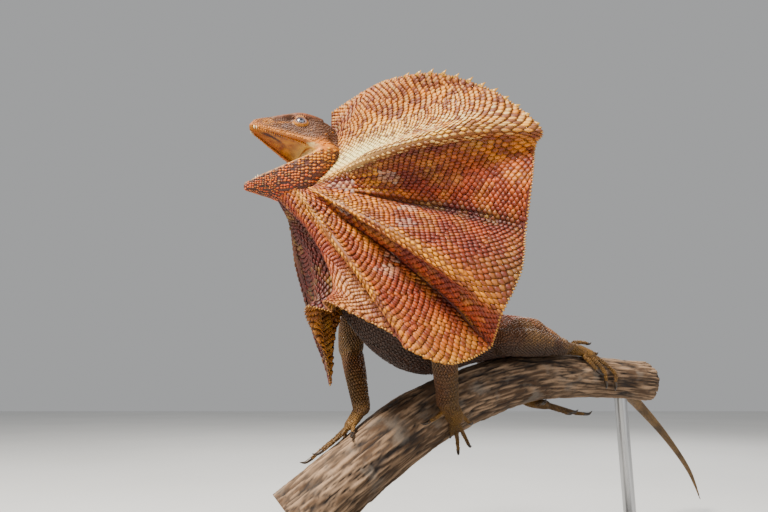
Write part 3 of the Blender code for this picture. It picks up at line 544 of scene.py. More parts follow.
def cheek_web(side):
    """The fold of skin that joins the two lips at the corner of the mouth."""
    bm = bmesh.new()
    bmesh.ops.create_grid(bm, x_segments=14, y_segments=14, size=1.0)
    for vert in bm.verts:
        reach = (vert.co.x + 1) / 2
        rise = (vert.co.y + 1) / 2
        f = -5.0 + reach * (14.5 - 6.5 * math.sin(math.pi * rise))
        half_width = smooth_row(HEAD_LINE, place_on_line(HEAD_LINE, f))[1]
        low = lower_lip(f) - 1.2
        high = upper_lip(f) + 1.2
        tuck = 1.6 + 3.2 * math.sin(math.pi * rise) * reach
        vert.co = head_point(f, side * (half_width - tuck), low + (high - low) * rise)
    bmesh.ops.solidify(bm, geom=bm.faces[:], thickness=1.9)
    face_outward(bm)
    return bm


# The body's parts


def digit(points, radius, claw, coat):
    """One toe, and the points and thicknesses of its curved claw."""
    count = len(points)
    radii = [radius * (1.0 - 0.22 * k / (count - 1)) for k in range(count)]
    toe = Flesh("digit", limb_rows(points, radii), rings=26, sides=16, pitch=1.35, coat=coat,
                round_start=False)
    tip = Vector(points[-1])
    along = (tip - Vector(points[-2])).normalized()
    down = (tip - Vector(points[-2])).cross(UP).cross(along)
    if down.length > 1e-6:
        down.normalize()
    base = tip - along * radius * 0.5
    curve = [base, base + along * claw * 0.8 + down * claw * 0.1,
             base + along * claw * 1.25 + down * claw * 0.5]
    nail = limb_rows(curve, [radius * 0.62, radius * 0.45, 0.22])
    return toe, nail


def body_parts():
    """Every length of flesh but the head and jaw, and the rows of every claw."""
    parts = [
        Flesh("torso", TORSO_LINE, power=2.15, rings=60, sides=56, pitch=2.3),
        Flesh("neck", NECK_LINE, crown=Vector((1.0, 0.6, 0.0)), rings=40, sides=44, pitch=2.0),
        Flesh("tail", TAIL_LINE, rings=110, sides=30, pitch=2.0, coat="tail"),
    ]
    arm_crown = Vector((1, 0, 0.2))
    left_wrist = perch_point(2.32, 16, 8.0)
    right_wrist = perch_point(1.56, 96, 8.5)

    def between(start, end, share, *shift):
        return start.lerp(end, share) + Vector(shift)

    for region, start, middle, end, radii in (
        ("arm", LEFT_SHOULDER, between(LEFT_SHOULDER, LEFT_ELBOW, 0.5, -2, -3, 0), LEFT_ELBOW, UPPER_ARM),
        ("arm", RIGHT_SHOULDER, between(RIGHT_SHOULDER, RIGHT_ELBOW, 0.5, -3, 2, 0), RIGHT_ELBOW,
         UPPER_ARM),
        ("arm", LEFT_ELBOW, between(LEFT_ELBOW, left_wrist, 0.4, 0, -1, 1), left_wrist, (8.0, 7.8, 7.0)),
        ("arm", RIGHT_ELBOW, between(RIGHT_ELBOW, right_wrist, 0.4, 0, 0, 0), right_wrist,
         (7.6, 7.2, 5.6)),
        ("thigh", LEFT_HIP, between(LEFT_HIP, LEFT_KNEE, 0.5, -3, -2, 2), LEFT_KNEE, THIGH),
        ("thigh", RIGHT_HIP, between(RIGHT_HIP, RIGHT_KNEE, 0.5, 0, 2, 2), RIGHT_KNEE, THIGH),
        ("shin", LEFT_KNEE, between(LEFT_KNEE, LEFT_ANKLE, 0.45, 0, -3, 1), LEFT_ANKLE, (9.4, 9.8, 6.2)),
        ("shin", RIGHT_KNEE, RIGHT_CALF, perch_point(4.02, 200, 8.0), (8.6, 8.4, 5.8)),
    ):
        parts.append(Flesh(region, limb_rows((start, middle, end), radii), coat="limb",
                           crown=arm_crown if region == "arm" else UP))

    left_palm = perch_path((2.32, 16, 8.0), (2.33, 0, 5.8), (2.34, -14, 4.4))
    left_fingers = (
        (((2.28, 8, 4.4), (2.13, 4, 3.4), (1.99, 4, 2.6)), 4.5),
        (((2.29, -14, 4.2), (2.26, -30, 3.4), (2.25, -42, 2.8)), 4.5),
        (((2.33, -18, 4.2), (2.33, -42, 4.4), (2.325, -60, 6.5), (2.32, -70, 9.0)), 5.5),
        (((2.36, -16, 4.2), (2.42, -40, 4.4), (2.48, -60, 6.5), (2.52, -70, 9.0)), 5.5),
        (((2.39, -2, 4.4), (2.49, -20, 3.8), (2.58, -38, 3.2)), 5.0),
    )
    right_palm = perch_path((1.56, 96, 8.5), (1.44, 98, 5.6), (1.34, 99, 4.2))
    right_fingers = (
        (((1.42, 106, 4.0), (1.32, 124, 3.2), (1.26, 138, 2.4)), 4.5),
        (((1.36, 103, 4.0), (1.18, 112, 3.2), (1.02, 118, 2.4)), 5.0),
        (((1.34, 99, 4.0), (1.12, 101, 3.2), (0.90, 101, 2.6), (0.74, 100, 2.3)), 5.5),
        (((1.35, 95, 4.0), (1.18, 90, 3.2), (1.00, 88, 2.6), (0.88, 86, 2.3)), 5.0),
        (((1.40, 90, 4.0), (1.32, 76, 3.2), (1.26, 66, 2.4)), 4.5),
    )
    left_sole = [LEFT_ANKLE, perch_point(4.72, 66, 5.6), perch_point(4.92, 56, 4.4)]
    left_toes = (
        (((4.74, 78, 9.0), (4.92, 84, 10.0), (5.04, 86, 9.5)), 4.0),
        (((4.78, 50, 4.2), (4.86, 30, 3.4), (4.92, 14, 2.6)), 5.0),
        (((4.88, 52, 4.2), (4.98, 28, 3.6), (5.05, 6, 2.8), (5.07, -12, 2.4)), 5.5),
        (((4.94, 56, 4.2), (5.08, 34, 3.8), (5.20, 8, 2.8), (5.22, -14, 2.4)), 6.0),
        (((4.92, 64, 4.2), (5.04, 76, 3.2), (5.16, 86, 2.6)), 4.5),
    )
    right_sole = perch_path((4.02, 200, 8.0), (4.14, 232, 4.8), (4.32, 258, 5.0))
    right_toes = (
        (((4.18, 250, 4.2), (4.14, 268, 3.4), (4.12, 284, 2.6)), 4.5),
        (((4.28, 256, 5.0), (4.46, 264, 8.0), (4.66, 268, 11.5)), 4.5),
        (((4.34, 254, 5.0), (4.56, 258, 8.0), (4.80, 261, 11.0)), 5.0),
        (((4.34, 250, 5.0), (4.60, 254, 8.5), (4.84, 258, 12.0), (5.02, 261, 13.0)), 6.0),
        (((4.20, 240, 4.2), (4.34, 228, 3.2), (4.46, 218, 2.6)), 5.0),
    )
    for line, radii, flatten in ((left_palm, (6.8, 6.46, 5.44), 0.75),
                                 (right_palm, (5.4, 5.13, 4.32), 0.75),
                                 (left_sole, SOLE, 0.72), (right_sole, SOLE, 0.72)):
        parts.append(Flesh("palm", limb_rows(line, radii, flatten), rings=26, sides=24, pitch=1.5,
                           coat="hand"))
    nails = []
    for digits, radius in ((left_fingers, FINGER), (right_fingers, FINGER), (left_toes, TOE),
                           (right_toes, TOE)):
        for stops, claw in digits:
            toe, nail = digit(perch_path(*stops), radius, claw, "hand")
            parts.append(toe)
            nails.append(nail)
    return parts, nails


# The frill's middle surface


def fold_point(fold, side, v):
    """A point along one fold, in the head's frame: v is 0 at the root and 1 at the rim."""
    name, (root_f, root_l, root_u), *rim = fold
    turn, reach, back, bow, aside = RIGHT_RIMS.get(name, rim) if side < 0 else rim
    angle = math.radians(turn)
    rim_l = reach * math.sin(angle)
    rim_u = reach * math.cos(angle)
    hump = BOW_SCALE * v ** 1.5 * (1 - v)
    f = root_f + (-back - root_f) * v + bow * hump
    l = root_l + (rim_l - root_l) * v + math.cos(angle) * aside * hump
    u = root_u + (rim_u - root_u) * v - math.sin(angle) * aside * hump
    return f, l * side, u


def clear_of_body(point):
    """The skin drapes over the neck, chest and shoulders instead of passing through them."""
    for line in (NECK_LINE, TORSO_LINE[:5], SHOULDER_LINE):
        for first, second in zip(line, line[1:]):
            a = Vector(first[:3])
            b = Vector(second[:3])
            t = min(max((point - a).dot(b - a) / (b - a).length_squared, 0.0), 1.0)
            nearest = a.lerp(b, t)
            radius = max(first[3] + (second[3] - first[3]) * t,
                         first[4] + (second[4] - first[4]) * t) + 3.0
            away = point - nearest
            if away.length < radius:
                point = nearest + away * (radius / max(away.length, 0.1))
    return point


def frill_sheet(side):
    """The frill's middle surface as columns of points from root to rim, with its folds eased."""
    sheet = []
    for i in range(FRILL_COLUMNS + 1):
        at = LAST_FOLD * i / FRILL_COLUMNS
        column = []
        for k in range(FRILL_ROWS + 1):
            v = (k / FRILL_ROWS) ** ROW_EASE
            point = head_point(*smooth_row([fold_point(fold, side, v) for fold in FOLDS], at))
            column.append(clear_of_body(point) if v > 0.3 else point)
        sheet.append(column)
    for _ in range(3):
        eased = [list(column) for column in sheet]
        for i in range(1, FRILL_COLUMNS):
            for k in range(FRILL_ROWS):
                beside = (sheet[i - 1][k] + sheet[i + 1][k]) / 2
                eased[i][k] = sheet[i][k].lerp(beside, 0.5 if k < 3 else 0.3)
        sheet = eased
    return np.array([[tuple(point) for point in column] for column in sheet])


def curve_weights(count, places):
    """For each place, its weights on `count` points, on a smooth curve through all of them."""
    places = np.clip(places, 0, count - 1)
    low = np.minimum(places.astype(int), count - 2)
    t = places - low
    weights = np.zeros((len(places), count))
    terms = (
        (-1, 0.5 * (-t + 2 * t ** 2 - t ** 3)),
        (0, 0.5 * (2 - 5 * t ** 2 + 3 * t ** 3)),
        (1, 0.5 * (t + 4 * t ** 2 - 3 * t ** 3)),
        (2, 0.5 * (-t ** 2 + t ** 3)),
    )
    rows = np.arange(len(places))
    for step, term in terms:
        np.add.at(weights, (rows, np.clip(low + step, 0, count - 1)), term)
    return weights


def frill_points(sheet, at, v):
    """Points of the frill's middle surface in millimetres, one for each pair of at and v."""
    across = curve_weights(FRILL_COLUMNS + 1, np.asarray(at) * FRILL_COLUMNS / LAST_FOLD)
    outward = curve_weights(FRILL_ROWS + 1, np.clip(v, 0, 1) ** (1 / ROW_EASE) * FRILL_ROWS)
    return np.einsum("ni,ikc,nk->nc", across, sheet, outward)


def unit(vectors):
    return vectors / np.maximum(np.linalg.norm(vectors, axis=1), 1e-9)[:, None]


def folded_points(sheet, side, at, v):
    """The same points with the sharp edges of the folds and the fine pleats near the throat."""
    points = frill_points(sheet, at, v)
    along = frill_points(sheet, at + 0.06, v) - frill_points(sheet, at - 0.06, v)
    outward = frill_points(sheet, at, np.minimum(v + 0.012, 1.0)) - frill_points(sheet, at, v - 0.012)
    rise = np.zeros(len(points))
    ease = np.clip((v - 0.06) / 0.3, 0, 1) * np.clip((1.03 - v) / 0.2, 0.35, 1)
    for middle, height, before, after in SHARP_FOLDS:
        rise += height * np.exp(-((at - middle) / np.where(at < middle, before, after)) ** 2) * ease
    rise += 0.28 * np.sin(at * 11.0) * np.exp(-((v - 0.25) / 0.2) ** 2) * np.clip(at - 5.0, 0, 1)
    rise += 0.5 * np.sin(at * 3.1 + v * 5) * np.sin(v * 9 + at) * ease
    return points + unit(np.cross(along, outward)) * side * rise[:, None]


def frill_frames(sheet, side, at, v):
    """Points with their outward direction and the normal of the face that the head looks from."""
    points = folded_points(sheet, side, at, v)
    along = folded_points(sheet, side, at + 0.04, v) - folded_points(sheet, side, at - 0.04, v)
    outward = (folded_points(sheet, side, at, np.minimum(v + 0.012, 1.0))
               - folded_points(sheet, side, at, v - 0.012))
    return points, unit(outward), unit(np.cross(along, outward)) * side


# Colours


def mixed(first, second, share):
    return first + (second - first) * min(max(share, 0.0), 1.0)


def near(value, middle, spread):
    return math.exp(-((value - middle) / spread) ** 2)


# Where a tone lies on the frill: place along the folds and from root to rim, spread, colour, strength. The
# narrow bright strips on the ridges are painted highlight, and the dark ones under the ridges' edges and in
# the creases are painted shade.
FRILL_TONES = (
    # The nape's own brown, made darker as painted shade.
    ("nape", 0.9, 0.45, 1.5, 0.6, paint(150, 86, 44), 0.9),
    ("gold fan", 4.0, 0.72, 1.8, 0.4, paint(218, 148, 72), 0.9),
    ("dark arc of the fan", 2.8, 0.70, 1.2, 0.07, paint(140, 82, 50), 0.7),
    ("pale inner fan", 4.2, 0.34, 1.3, 0.20, paint(236, 178, 108), 0.8),
    ("yellow round the cheek", 5.0, 0.24, 1.45, 0.30, paint(250, 196, 100), 0.8),
    ("cream cheek", 5.0, 0.20, 1.15, 0.25, CREAM, 1.0),
    ("cream cheek's heart", 5.2, 0.20, 1.0, 0.20, CREAM, 1.0),
    ("cream cheek's lower edge", 5.8, 0.30, 0.35, 0.28, CREAM, 0.8),
    ("bright edge", 5.5, 0.72, 0.45, 0.45, AMBER, 0.9),
    ("top rim", 3.2, 1.0, 2.6, 0.09, paint(168, 108, 64), 0.8),
    # Painted highlight along the crest of the first ridge.
    ("first ridge", 5.90, 0.62, 0.16, 0.45, paint(252, 200, 124), 0.9),
    ("first ridge root", 6.5, 0.10, 1.1, 0.12, YELLOW, 0.9),
    # Painted shade under the overhang of the first ridge.
    ("under the first ridge", 7.5, 0.46, 0.95, 0.26, paint(108, 46, 26), 0.97),
    ("side sheet", 7.9, 0.78, 0.7, 0.22, paint(178, 88, 44), 0.9),
    ("side edge", 7.0, 0.90, 0.40, 0.12, AMBER, 0.45),
    ("side rim", 8.6, 0.94, 0.8, 0.14, paint(170, 92, 46), 0.8),
    # Painted shade in the first crease.
    ("first crease", 9.0, 0.60, 0.30, 0.40, DEEP_BROWN, 0.95),
    ("slope", 10.0, 0.66, 0.55, 0.34, paint(140, 70, 40), 0.95),
    ("slope rim", 10.2, 1.0, 0.9, 0.13, paint(92, 64, 38), 0.9),
    ("slope root", 9.6, 0.30, 0.7, 0.16, paint(226, 144, 62), 0.9),
    ("second ridge root", 11.0, 0.16, 1.0, 0.22, YELLOW, 0.95),
    # Painted highlight along the crest of the second ridge.
    ("second ridge", 10.90, 0.62, 0.17, 0.42, paint(244, 180, 96), 0.9),
    # Painted shade in the second crease.
    ("second crease", 12.5, 0.60, 0.40, 0.45, DARK_RUST, 0.9),
    ("lower sheet", 13.6, 0.82, 0.70, 0.30, paint(188, 108, 56), 0.9),
    ("lower middle", 13.5, 0.62, 0.7, 0.14, paint(162, 72, 36), 0.9),
    ("lower inner sheet", 13.3, 0.34, 0.8, 0.20, paint(196, 118, 40), 0.9),
    ("lobe rim", 14.0, 1.0, 0.9, 0.08, TAN, 0.8),
    # Painted highlight along the crest of the fourth ridge.
    ("fourth ridge", 14.90, 0.55, 0.16, 0.40, paint(246, 186, 104), 0.85),
    # Painted shade under the edge of the fourth ridge.
    ("under the fourth ridge's edge", 15.3, 0.60, 0.20, 0.40, DEEP_BROWN, 0.85),
    ("fourth ridge root", 15.2, 0.16, 0.8, 0.20, YELLOW, 0.9),
    # Painted shade in the third crease.
    ("third crease", 15.8, 0.55, 0.30, 0.40, DARK_RUST, 0.8),
    ("front sheet", 16.5, 0.84, 0.55, 0.24, PINK_CREAM, 0.95),
    ("front inner sheet", 16.9, 0.45, 0.7, 0.20, paint(176, 84, 36), 0.9),
    ("throat", 18.0, 0.40, 0.7, 0.5, paint(120, 54, 30), 0.9),
    ("shade behind the ear", 0.2, 0.30, 0.7, 0.22, DEEP_BROWN, 0.85),
    # Painted shade under the ridges' edges and along the creases.
    ("under the first ridge's edge", 6.4, 0.60, 0.26, 0.42, paint(84, 34, 20), 0.95),
    ("line of the first crease", 9.0, 0.66, 0.20, 0.40, DEEP_BROWN, 0.97),
    ("under the second ridge's edge", 11.4, 0.62, 0.24, 0.40, paint(84, 34, 20), 0.92),
    ("line of the second crease", 12.7, 0.62, 0.17, 0.42, DEEP_BROWN, 0.85),
    ("line of the third crease", 15.8, 0.62, 0.15, 0.36, DEEP_BROWN, 0.80),
)
SHED_PATCHES = ((8.3, 0.15, 0.9, 0.06), (7.5, 0.36, 0.5, 0.05), (9.5, 0.46, 0.28, 0.04),
                (10.3, 0.53, 0.28, 0.04), (11.2, 0.22, 0.5, 0.06), (13.6, 0.54, 0.35, 0.04),
                (12.9, 0.46, 0.3, 0.04))


def cream_share(at, v):
    """How far a place of the frill lies in the cream patch behind the cheek."""
    return near(at, 5.1, 1.15) * near(v, 0.18, 0.26)


def frill_tone(side, front, at, v, point):
    """The frill's colour at a place, before each scale varies it, with painted highlight and shade on its
    folds and painted shade on its right half.
    """
    if front:
        colour = mixed(GOLD, RUST, (at - 5.5) / 2)
        for _, middle, out, spread, spread_out, tone, strength in FRILL_TONES:
            share = near(at, middle, spread) * near(v, out, spread_out) * strength
            if share > 0.02:
                colour = mixed(colour, tone, share)
        cream = cream_share(at, v)
        streak = noise.noise(Vector((at * 5.5, v * 1.3, side * 5.0)))
        reach = near(v, 0.15, 0.24) * min(max((at - 5.6) / 0.8, 0), 1)
        colour = mixed(colour, MAROON, 2.2 * max(streak, 0.0) * reach)
        colour = mixed(colour, paint(244, 172, 76), 1.6 * max(-streak, 0.0) * reach)
        # Painted shade: the right half of the frill, which lies behind the head, is made much darker.
        if side < 0:
            colour = mixed(colour, DEEP_BROWN, 0.45 + 0.35 * near(at, 14.5, 4.5)) * 0.42
    else:
        cream = 0.0
        colour = mixed(paint(136, 88, 56), paint(92, 58, 40), 0.5 + 0.9 * noise.noise(point * 0.03))
        colour = mixed(colour, paint(190, 130, 76), near(v, 1.0, 0.22) * 0.8)
        colour = mixed(colour, paint(84, 50, 34), near(v, 0.1, 0.35))
    mottle = noise.noise(point * 0.10) + 0.6 * noise.noise(point * 0.23)
    colour = mixed(colour, PLUM if at < 6 and front else MAROON, 0.8 * max(mottle, 0.0) * (1 - cream))
    return mixed(colour, PALE_YELLOW, 0.25 * max(-mottle, 0.0) * (1 - cream))


def frill_scale_colours(side, front, at, v, point, rng):
    """The edge and the middle colour of one scale of the frill."""
    tone = frill_tone(side, front, at, v, point)
    if not front:
        tone = tone * rng.uniform(0.80, 1.15)
        return mixed(tone, TAN, 0.2), mixed(tone, DEEP_BROWN, 0.3 * rng.uniform(0.4, 1.4))
    cream = cream_share(at, v)
    tone = tone * rng.uniform(0.76 + 0.20 * cream, 1.22)
    light = min(tone[1] * 5.0, 1.0)
    blotch = noise.noise(point * 0.24 + Vector((0, 0, 9))) + 0.5 * noise.noise(point * 0.55)
    shed = max(near(at, a, s) * near(v, out, so) for a, out, s, so in SHED_PATCHES)
    shed *= 1.0 + 0.8 * noise.noise(point * 0.35)
    if shed > 0.38:
        rim = near(shed, 0.45, 0.10)
        return mixed(tone, SHED_SKIN, 0.15 + 0.40 * rim), mixed(tone, SHED_SKIN, 0.22 * rng.random() + 0.10)
    if at < 6.2:
        if rng.random() < (0.16 + 0.9 * max(blotch, 0.0)) * (1 - cream):
            return mixed(tone, PLUM, 0.55), mixed(tone, PLUM, 0.85)
        white = near(at, 5.3, 1.0) * near(v, 0.62, 0.30)
        return (mixed(tone, RUST, 0.30 * (1 - cream)),
                mixed(tone, CREAM, (0.2 + 0.7 * white) * rng.random()))
    edge = mixed(tone, paint(236, 164, 86), 0.50 * min(v + 0.15, 1.0) * light)
    if rng.random() < 0.25 + 1.2 * max(blotch, 0.0):
        return mixed(edge, MAROON, 0.25), mixed(tone, MAROON, 0.85)
    return edge, mixed(tone, MAROON, 0.30 * rng.random())


def eye_ring(point):
    """How far a place lies from the eye in its opening's own oval, in millimetres."""
    side = 1 if head_place(point)[1] > 0 else -1
    _, across, upward = eye_axes(side)
    offset = point - eye_centre(side)
    return math.hypot(offset.dot(across) / 1.12, offset.dot(upward) / 0.92)


def mouth_tone(f, l, facing, blotch):
    """The lining of the open mouth: ochre in front, cream where the cheek's web stretches."""
    if facing < -0.25:
        colour = mixed(PALATE, paint(206, 148, 60), 0.5 + blotch)
        # Painted shade in the palate's slit, the opening of the inner nostril.
        slit = near(abs(l), 1.9 + 0.02 * (f - 24) ** 2, 0.95) * near(f, 24.0, 6)
        colour = mixed(colour, paint(52, 16, 10), min(slit * 1.8, 1.0))
        # Painted shade along the fold of the palate.
        fold = near(abs(l), 4.6, 0.8) * near(f, 14, 9)
        colour = mixed(colour, paint(108, 64, 28), fold * 0.6)
        return mixed(colour, PALE_YELLOW, near(f, 1, 7) * 0.8)
    colour = mixed(paint(190, 130, 58), paint(158, 108, 66), 0.5 + blotch)
    return mixed(colour, PALE_YELLOW, near(f, 1, 8) * 0.85)


def head_tone(point, normal):
    """The skin's colour on the head, lips and inside of the mouth."""
    f, l, u = head_place(point)
    across = abs(l)
    high = upper_lip(f)
    low = lower_lip(f)
    facing = normal.dot(CROWN)
    corner = math.hypot(f + 0.5, (u - 4.6) * 1.1)
    blotch = noise.noise(point * 0.30)
    fleck = noise.noise(point * 0.9 + Vector((7, 3, 1)))
    half_width = smooth_row(HEAD_LINE, min(max((f + 19) / 57 * 9.4, 0), 9))[1]
    inside = across < half_width * 0.86
    if f > -4.0 and inside and facing < -0.25 and high - 3.0 < u < high + 5.5:
        return mouth_tone(f, l, facing, blotch)
    if f > -4.0 and inside and facing > 0.15 and low - 6.5 < u < low + 2.5:
        return mouth_tone(f, l, facing, blotch)
    if f > -3.5 and low + 0.6 < u < high - 0.6:
        web = mixed(CREAM, paint(226, 176, 112), 0.25 + 0.8 * blotch)
        web = mixed(web, paint(240, 152, 20), near(corner, 0, 5.2) * 0.97)
        # Painted shade in the hollow of the web under the upper lip.
        return mixed(web, paint(96, 74, 58), near(f, 9.5, 3.0) * near(u, high - 1.5, 3.0) * 0.9)
    ring = eye_ring(point)
    if u > (high + low) / 2:
        colour = mixed(HEAD_BROWN, paint(116, 86, 74), 0.5 + 1.2 * blotch)
        colour = mixed(colour, HEAD_RUST, max(min((u - 25) / 6, 1), 0) * (0.50 + 0.9 * blotch))
        colour = mixed(colour, HEAD_DARK, 0.9 * max(fleck, 0))
        colour = mixed(colour, HEAD_DARK, near(f, -3, 7) * near(u, 24, 7) * 0.4)
        colour = mixed(colour, paint(184, 118, 72), near(f, 37, 7) * 0.75)
        colour = mixed(colour, paint(208, 140, 88), near(u, high + 1.0, 1.7) * 0.95)
        if normal.dot(LEFT) * l < 1.0 and f > 2:
            colour = mixed(colour, paint(172, 108, 48), near(u, high, 3.0) * 0.95)
        colour = mixed(colour, paint(212, 142, 76),
                       near(u, 22.6 + (16 - f) * 0.06, 0.7) * near(f, 20.5, 4.5) * 0.9)
        # Painted shade in the hollow before the eye.
        colour = mixed(colour, HEAD_DARK, near(f, 16.8, 2.6) * near(u, 25.4, 1.8) * 0.7)
    else:
        chin = max(min((f - 6) / 30, 1), 0)
        colour = mixed(paint(104, 60, 48), paint(66, 42, 38), 0.3 + 0.7 * chin + 0.4 * blotch)
        colour = mixed(colour, paint(214, 166, 120), near(u, low + 0.2, 0.8) * 0.9)
    if across > 9:
        colour = mixed(colour, paint(244, 158, 26), near(corner, 1.0, 4.6) * 0.97)
    if across > 5:
        colour = mixed(colour, paint(132, 98, 88), near(ring, 2.9, 0.9) * 0.9)
        colour = mixed(colour, paint(232, 164, 88), near(ring, 3.9, 0.4) * 0.9)
        colour = mixed(colour, paint(96, 68, 58), near(ring, 4.7, 0.5) * 0.4)
    nostril = (point - nostril_centre(l)).length
    colour = mixed(colour, paint(226, 158, 84), near(nostril, 2.4, 0.8) * 0.7)
    # Painted shade in the nostril's opening.
    return mixed(colour, DEEP_BROWN, near(nostril, 0.0, 1.3))


def jaw_scale_tones(f, u, rng):
    """Bright ovals on the dark jaw: yellow by the mouth's corner, red-orange at chin and throat."""
    depth = min(max((lower_lip(f) - u) / 15.0, 0.0), 1.0)
    colour = mixed(paint(250, 186, 70), paint(236, 140, 50), min(max((f - 2) / 20, 0), 1))
    colour = mixed(colour, paint(204, 84, 40), 0.85 * depth)
    colour = mixed(colour, paint(190, 78, 44), 0.5 * near(f, 40, 8))
    if rng.random() < 0.30:
        colour = mixed(colour, paint(92, 54, 48), 0.85)
    colour = colour * rng.uniform(0.75, 1.15)
    return mixed(colour, paint(110, 52, 34), 0.25), mixed(colour, PALE_YELLOW, 0.30 * rng.random())


def body_tone(region, point, normal, at):
    """The skin's colour on the neck, trunk, limbs and tail."""
    blotch = noise.noise(point * 0.07)
    fine = noise.noise(point * 0.35 + Vector((3, 9, 4)))
    if region in ("torso", "neck"):
        colour = mixed(BACK_BROWN, BACK_RUST, 0.4 + 1.1 * blotch)
        colour = mixed(colour, BEIGE, near(point.x, 44, 20) * 0.6)
        colour = mixed(colour, BACK_RUST, near(point.x, 0, 22) * 0.5 * max(normal.z, 0))
        # Painted shade: surfaces that face down or sideways are darkened.
        colour = mixed(colour, UNDERSIDE_SHADE, max(min(0.55 - normal.z, 1.0), 0.0) * 0.95)
    elif region == "tail":
        band = 0.5 + 0.5 * math.sin(at * 9.0 + 1.2 * blotch)
        colour = mixed(TAIL_TAN, TAIL_DARK, 0.15 + 0.6 * band * band + 0.5 * blotch)
    elif region in ("thigh", "shin"):
        colour = mixed(BACK_BROWN, BEIGE, 0.25 + 1.0 * blotch)
        # Painted shade on the undersides.
        colour = mixed(colour, UNDERSIDE_SHADE, max(min(0.45 - normal.z, 1.0), 0.0) * 0.85)
    elif region == "arm":
        colour = mixed(OLIVE, BACK_BROWN, 0.5 + blotch)
        # Painted shade on the undersides.
        colour = mixed(colour, UNDERSIDE_SHADE, max(min(0.0 - normal.z, 1.0), 0.0) * 0.4)
    else:
        colour = mixed(OLIVE, FOOT_OCHRE, 0.55 + 1.2 * blotch)
    return mixed(colour, HEAD_DARK, max(fine, 0) * 0.8)


# Making objects


def shader_of(material):
    return material.node_tree.nodes["Principled BSDF"]


def new_material(name):
    material = bpy.data.materials.new(name)
    material.use_nodes = True
    return material, material.node_tree.nodes, material.node_tree.links, shader_of(material)


def add_noise(nodes, links, scale, detail, stretch=None):
    """A noise over a piece's own coordinates, drawn out where stretch says so."""
    place = nodes.new("ShaderNodeTexCoord").outputs["Object"]
    if stretch:
        lie = nodes.new("ShaderNodeMapping")
        lie.inputs["Scale"].default_value = stretch
        links.new(place, lie.inputs["Vector"])
        place = lie.outputs["Vector"]
    grain = nodes.new("ShaderNodeTexNoise")
    grain.inputs["Scale"].default_value = scale
    grain.inputs["Detail"].default_value = detail
    links.new(place, grain.inputs["Vector"])
    return grain


def add_range(nodes, links, source, target, low, high, start=0.0, end=1.0):
    """Feed a noise to an input, moved into a range of values."""
    reach = nodes.new("ShaderNodeMapRange")
    for name, value in (("From Min", start), ("From Max", end), ("To Min", low), ("To Max", high)):
        reach.inputs[name].default_value = value
    links.new(source, reach.inputs["Value"])
    links.new(reach.outputs["Result"], target)


def add_relief(nodes, links, source, shader, strength, distance):
    relief = nodes.new("ShaderNodeBump")
    relief.inputs["Strength"].default_value = strength
    relief.inputs["Distance"].default_value = distance
    links.new(source, relief.inputs["Height"])
    links.new(relief.outputs["Normal"], shader.inputs["Normal"])


def hide_material(name, rough, grain, bump, deepen=0.0, coat=0.0):
    """Skin and horn: the piece's own colours, markings and painted shade alike, varied by a fine grain,
    with a fine relief.
    """
    material, nodes, links, shader = new_material(name)
    shader.inputs["Coat Weight"].default_value = coat
    shader.inputs["Coat Roughness"].default_value = 0.25
    markings_and_painted_shade = nodes.new("ShaderNodeAttribute")
    markings_and_painted_shade.attribute_name = "markings_and_painted_shade"
    speckle = add_noise(nodes, links, grain, 6.0)
    speckle.inputs["Roughness"].default_value = 0.6
    tint = nodes.new("ShaderNodeVectorMath")
    tint.operation = "SCALE"
    links.new(markings_and_painted_shade.outputs["Color"], tint.inputs[0])
    add_range(nodes, links, speckle.outputs["Fac"], tint.inputs["Scale"], 0.80 - deepen, 1.15 - deepen,
              0.3, 0.7)
    links.new(tint.outputs["Vector"], shader.inputs["Base Color"])
    add_range(nodes, links, speckle.outputs["Fac"], shader.inputs["Roughness"], rough - 0.12, rough + 0.12)
    add_relief(nodes, links, speckle.outputs["Fac"], shader, bump, 0.0003)
    return material


def bark_material():
    """The branch's own colours, with painted shade in its furrows, and patches of pale lichen."""
    material = hide_material("weathered_bark", 0.85, 900.0, 0.6)
    nodes = material.node_tree.nodes
    links = material.node_tree.links
    lichen = add_noise(nodes, links, 60.0, 8.0)
    blend = nodes.new("ShaderNodeMix")
    blend.data_type = "RGBA"
    base_colour = shader_of(material).inputs["Base Color"]
    source = base_colour.links[0].from_socket
    add_range(nodes, links, lichen.outputs["Fac"], blend.inputs["Factor"], 0.0, 0.5, 0.56, 0.70)
    links.new(source, blend.inputs["A"])
    blend.inputs["B"].default_value = (0.20, 0.17, 0.14, 1.0)
    links.new(blend.outputs["Result"], base_colour)
    return material


def plain_material(name, dark, light, scale, rough, metallic=0.0, stretch=(1, 1, 1), bump=0.05):
    """A made finish: two close tones in a fine noise, with the same noise in its gloss and relief."""
    material, nodes, links, shader = new_material(name)
    shader.inputs["Metallic"].default_value = metallic
    grain = add_noise(nodes, links, scale, 5.0, stretch)
    ramp = nodes.new("ShaderNodeValToRGB")
    for stop, position, tone in zip(ramp.color_ramp.elements, (0.35, 0.65), (dark, light)):
        stop.position = position
        stop.color = (*tone, 1.0)
    links.new(grain.outputs["Fac"], ramp.inputs["Fac"])
    links.new(ramp.outputs["Color"], shader.inputs["Base Color"])
    add_range(nodes, links, grain.outputs["Fac"], shader.inputs["Roughness"], max(rough - 0.1, 0.02),
              rough + 0.1)
    add_relief(nodes, links, grain.outputs["Fac"], shader, bump, 0.0002)
    return material


def object_of(name, bm, material):
    """A piece in metres from a mesh in millimetres."""
    bmesh.ops.scale(bm, vec=(MM, MM, MM), verts=bm.verts)
    mesh = bpy.data.meshes.new(name)
    bm.to_mesh(mesh)
    bm.free()
    mesh.shade_smooth()
    piece = bpy.data.objects.new(name, mesh)
    bpy.context.scene.collection.objects.link(piece)
    if material:
        mesh.materials.append(material)
    return piece


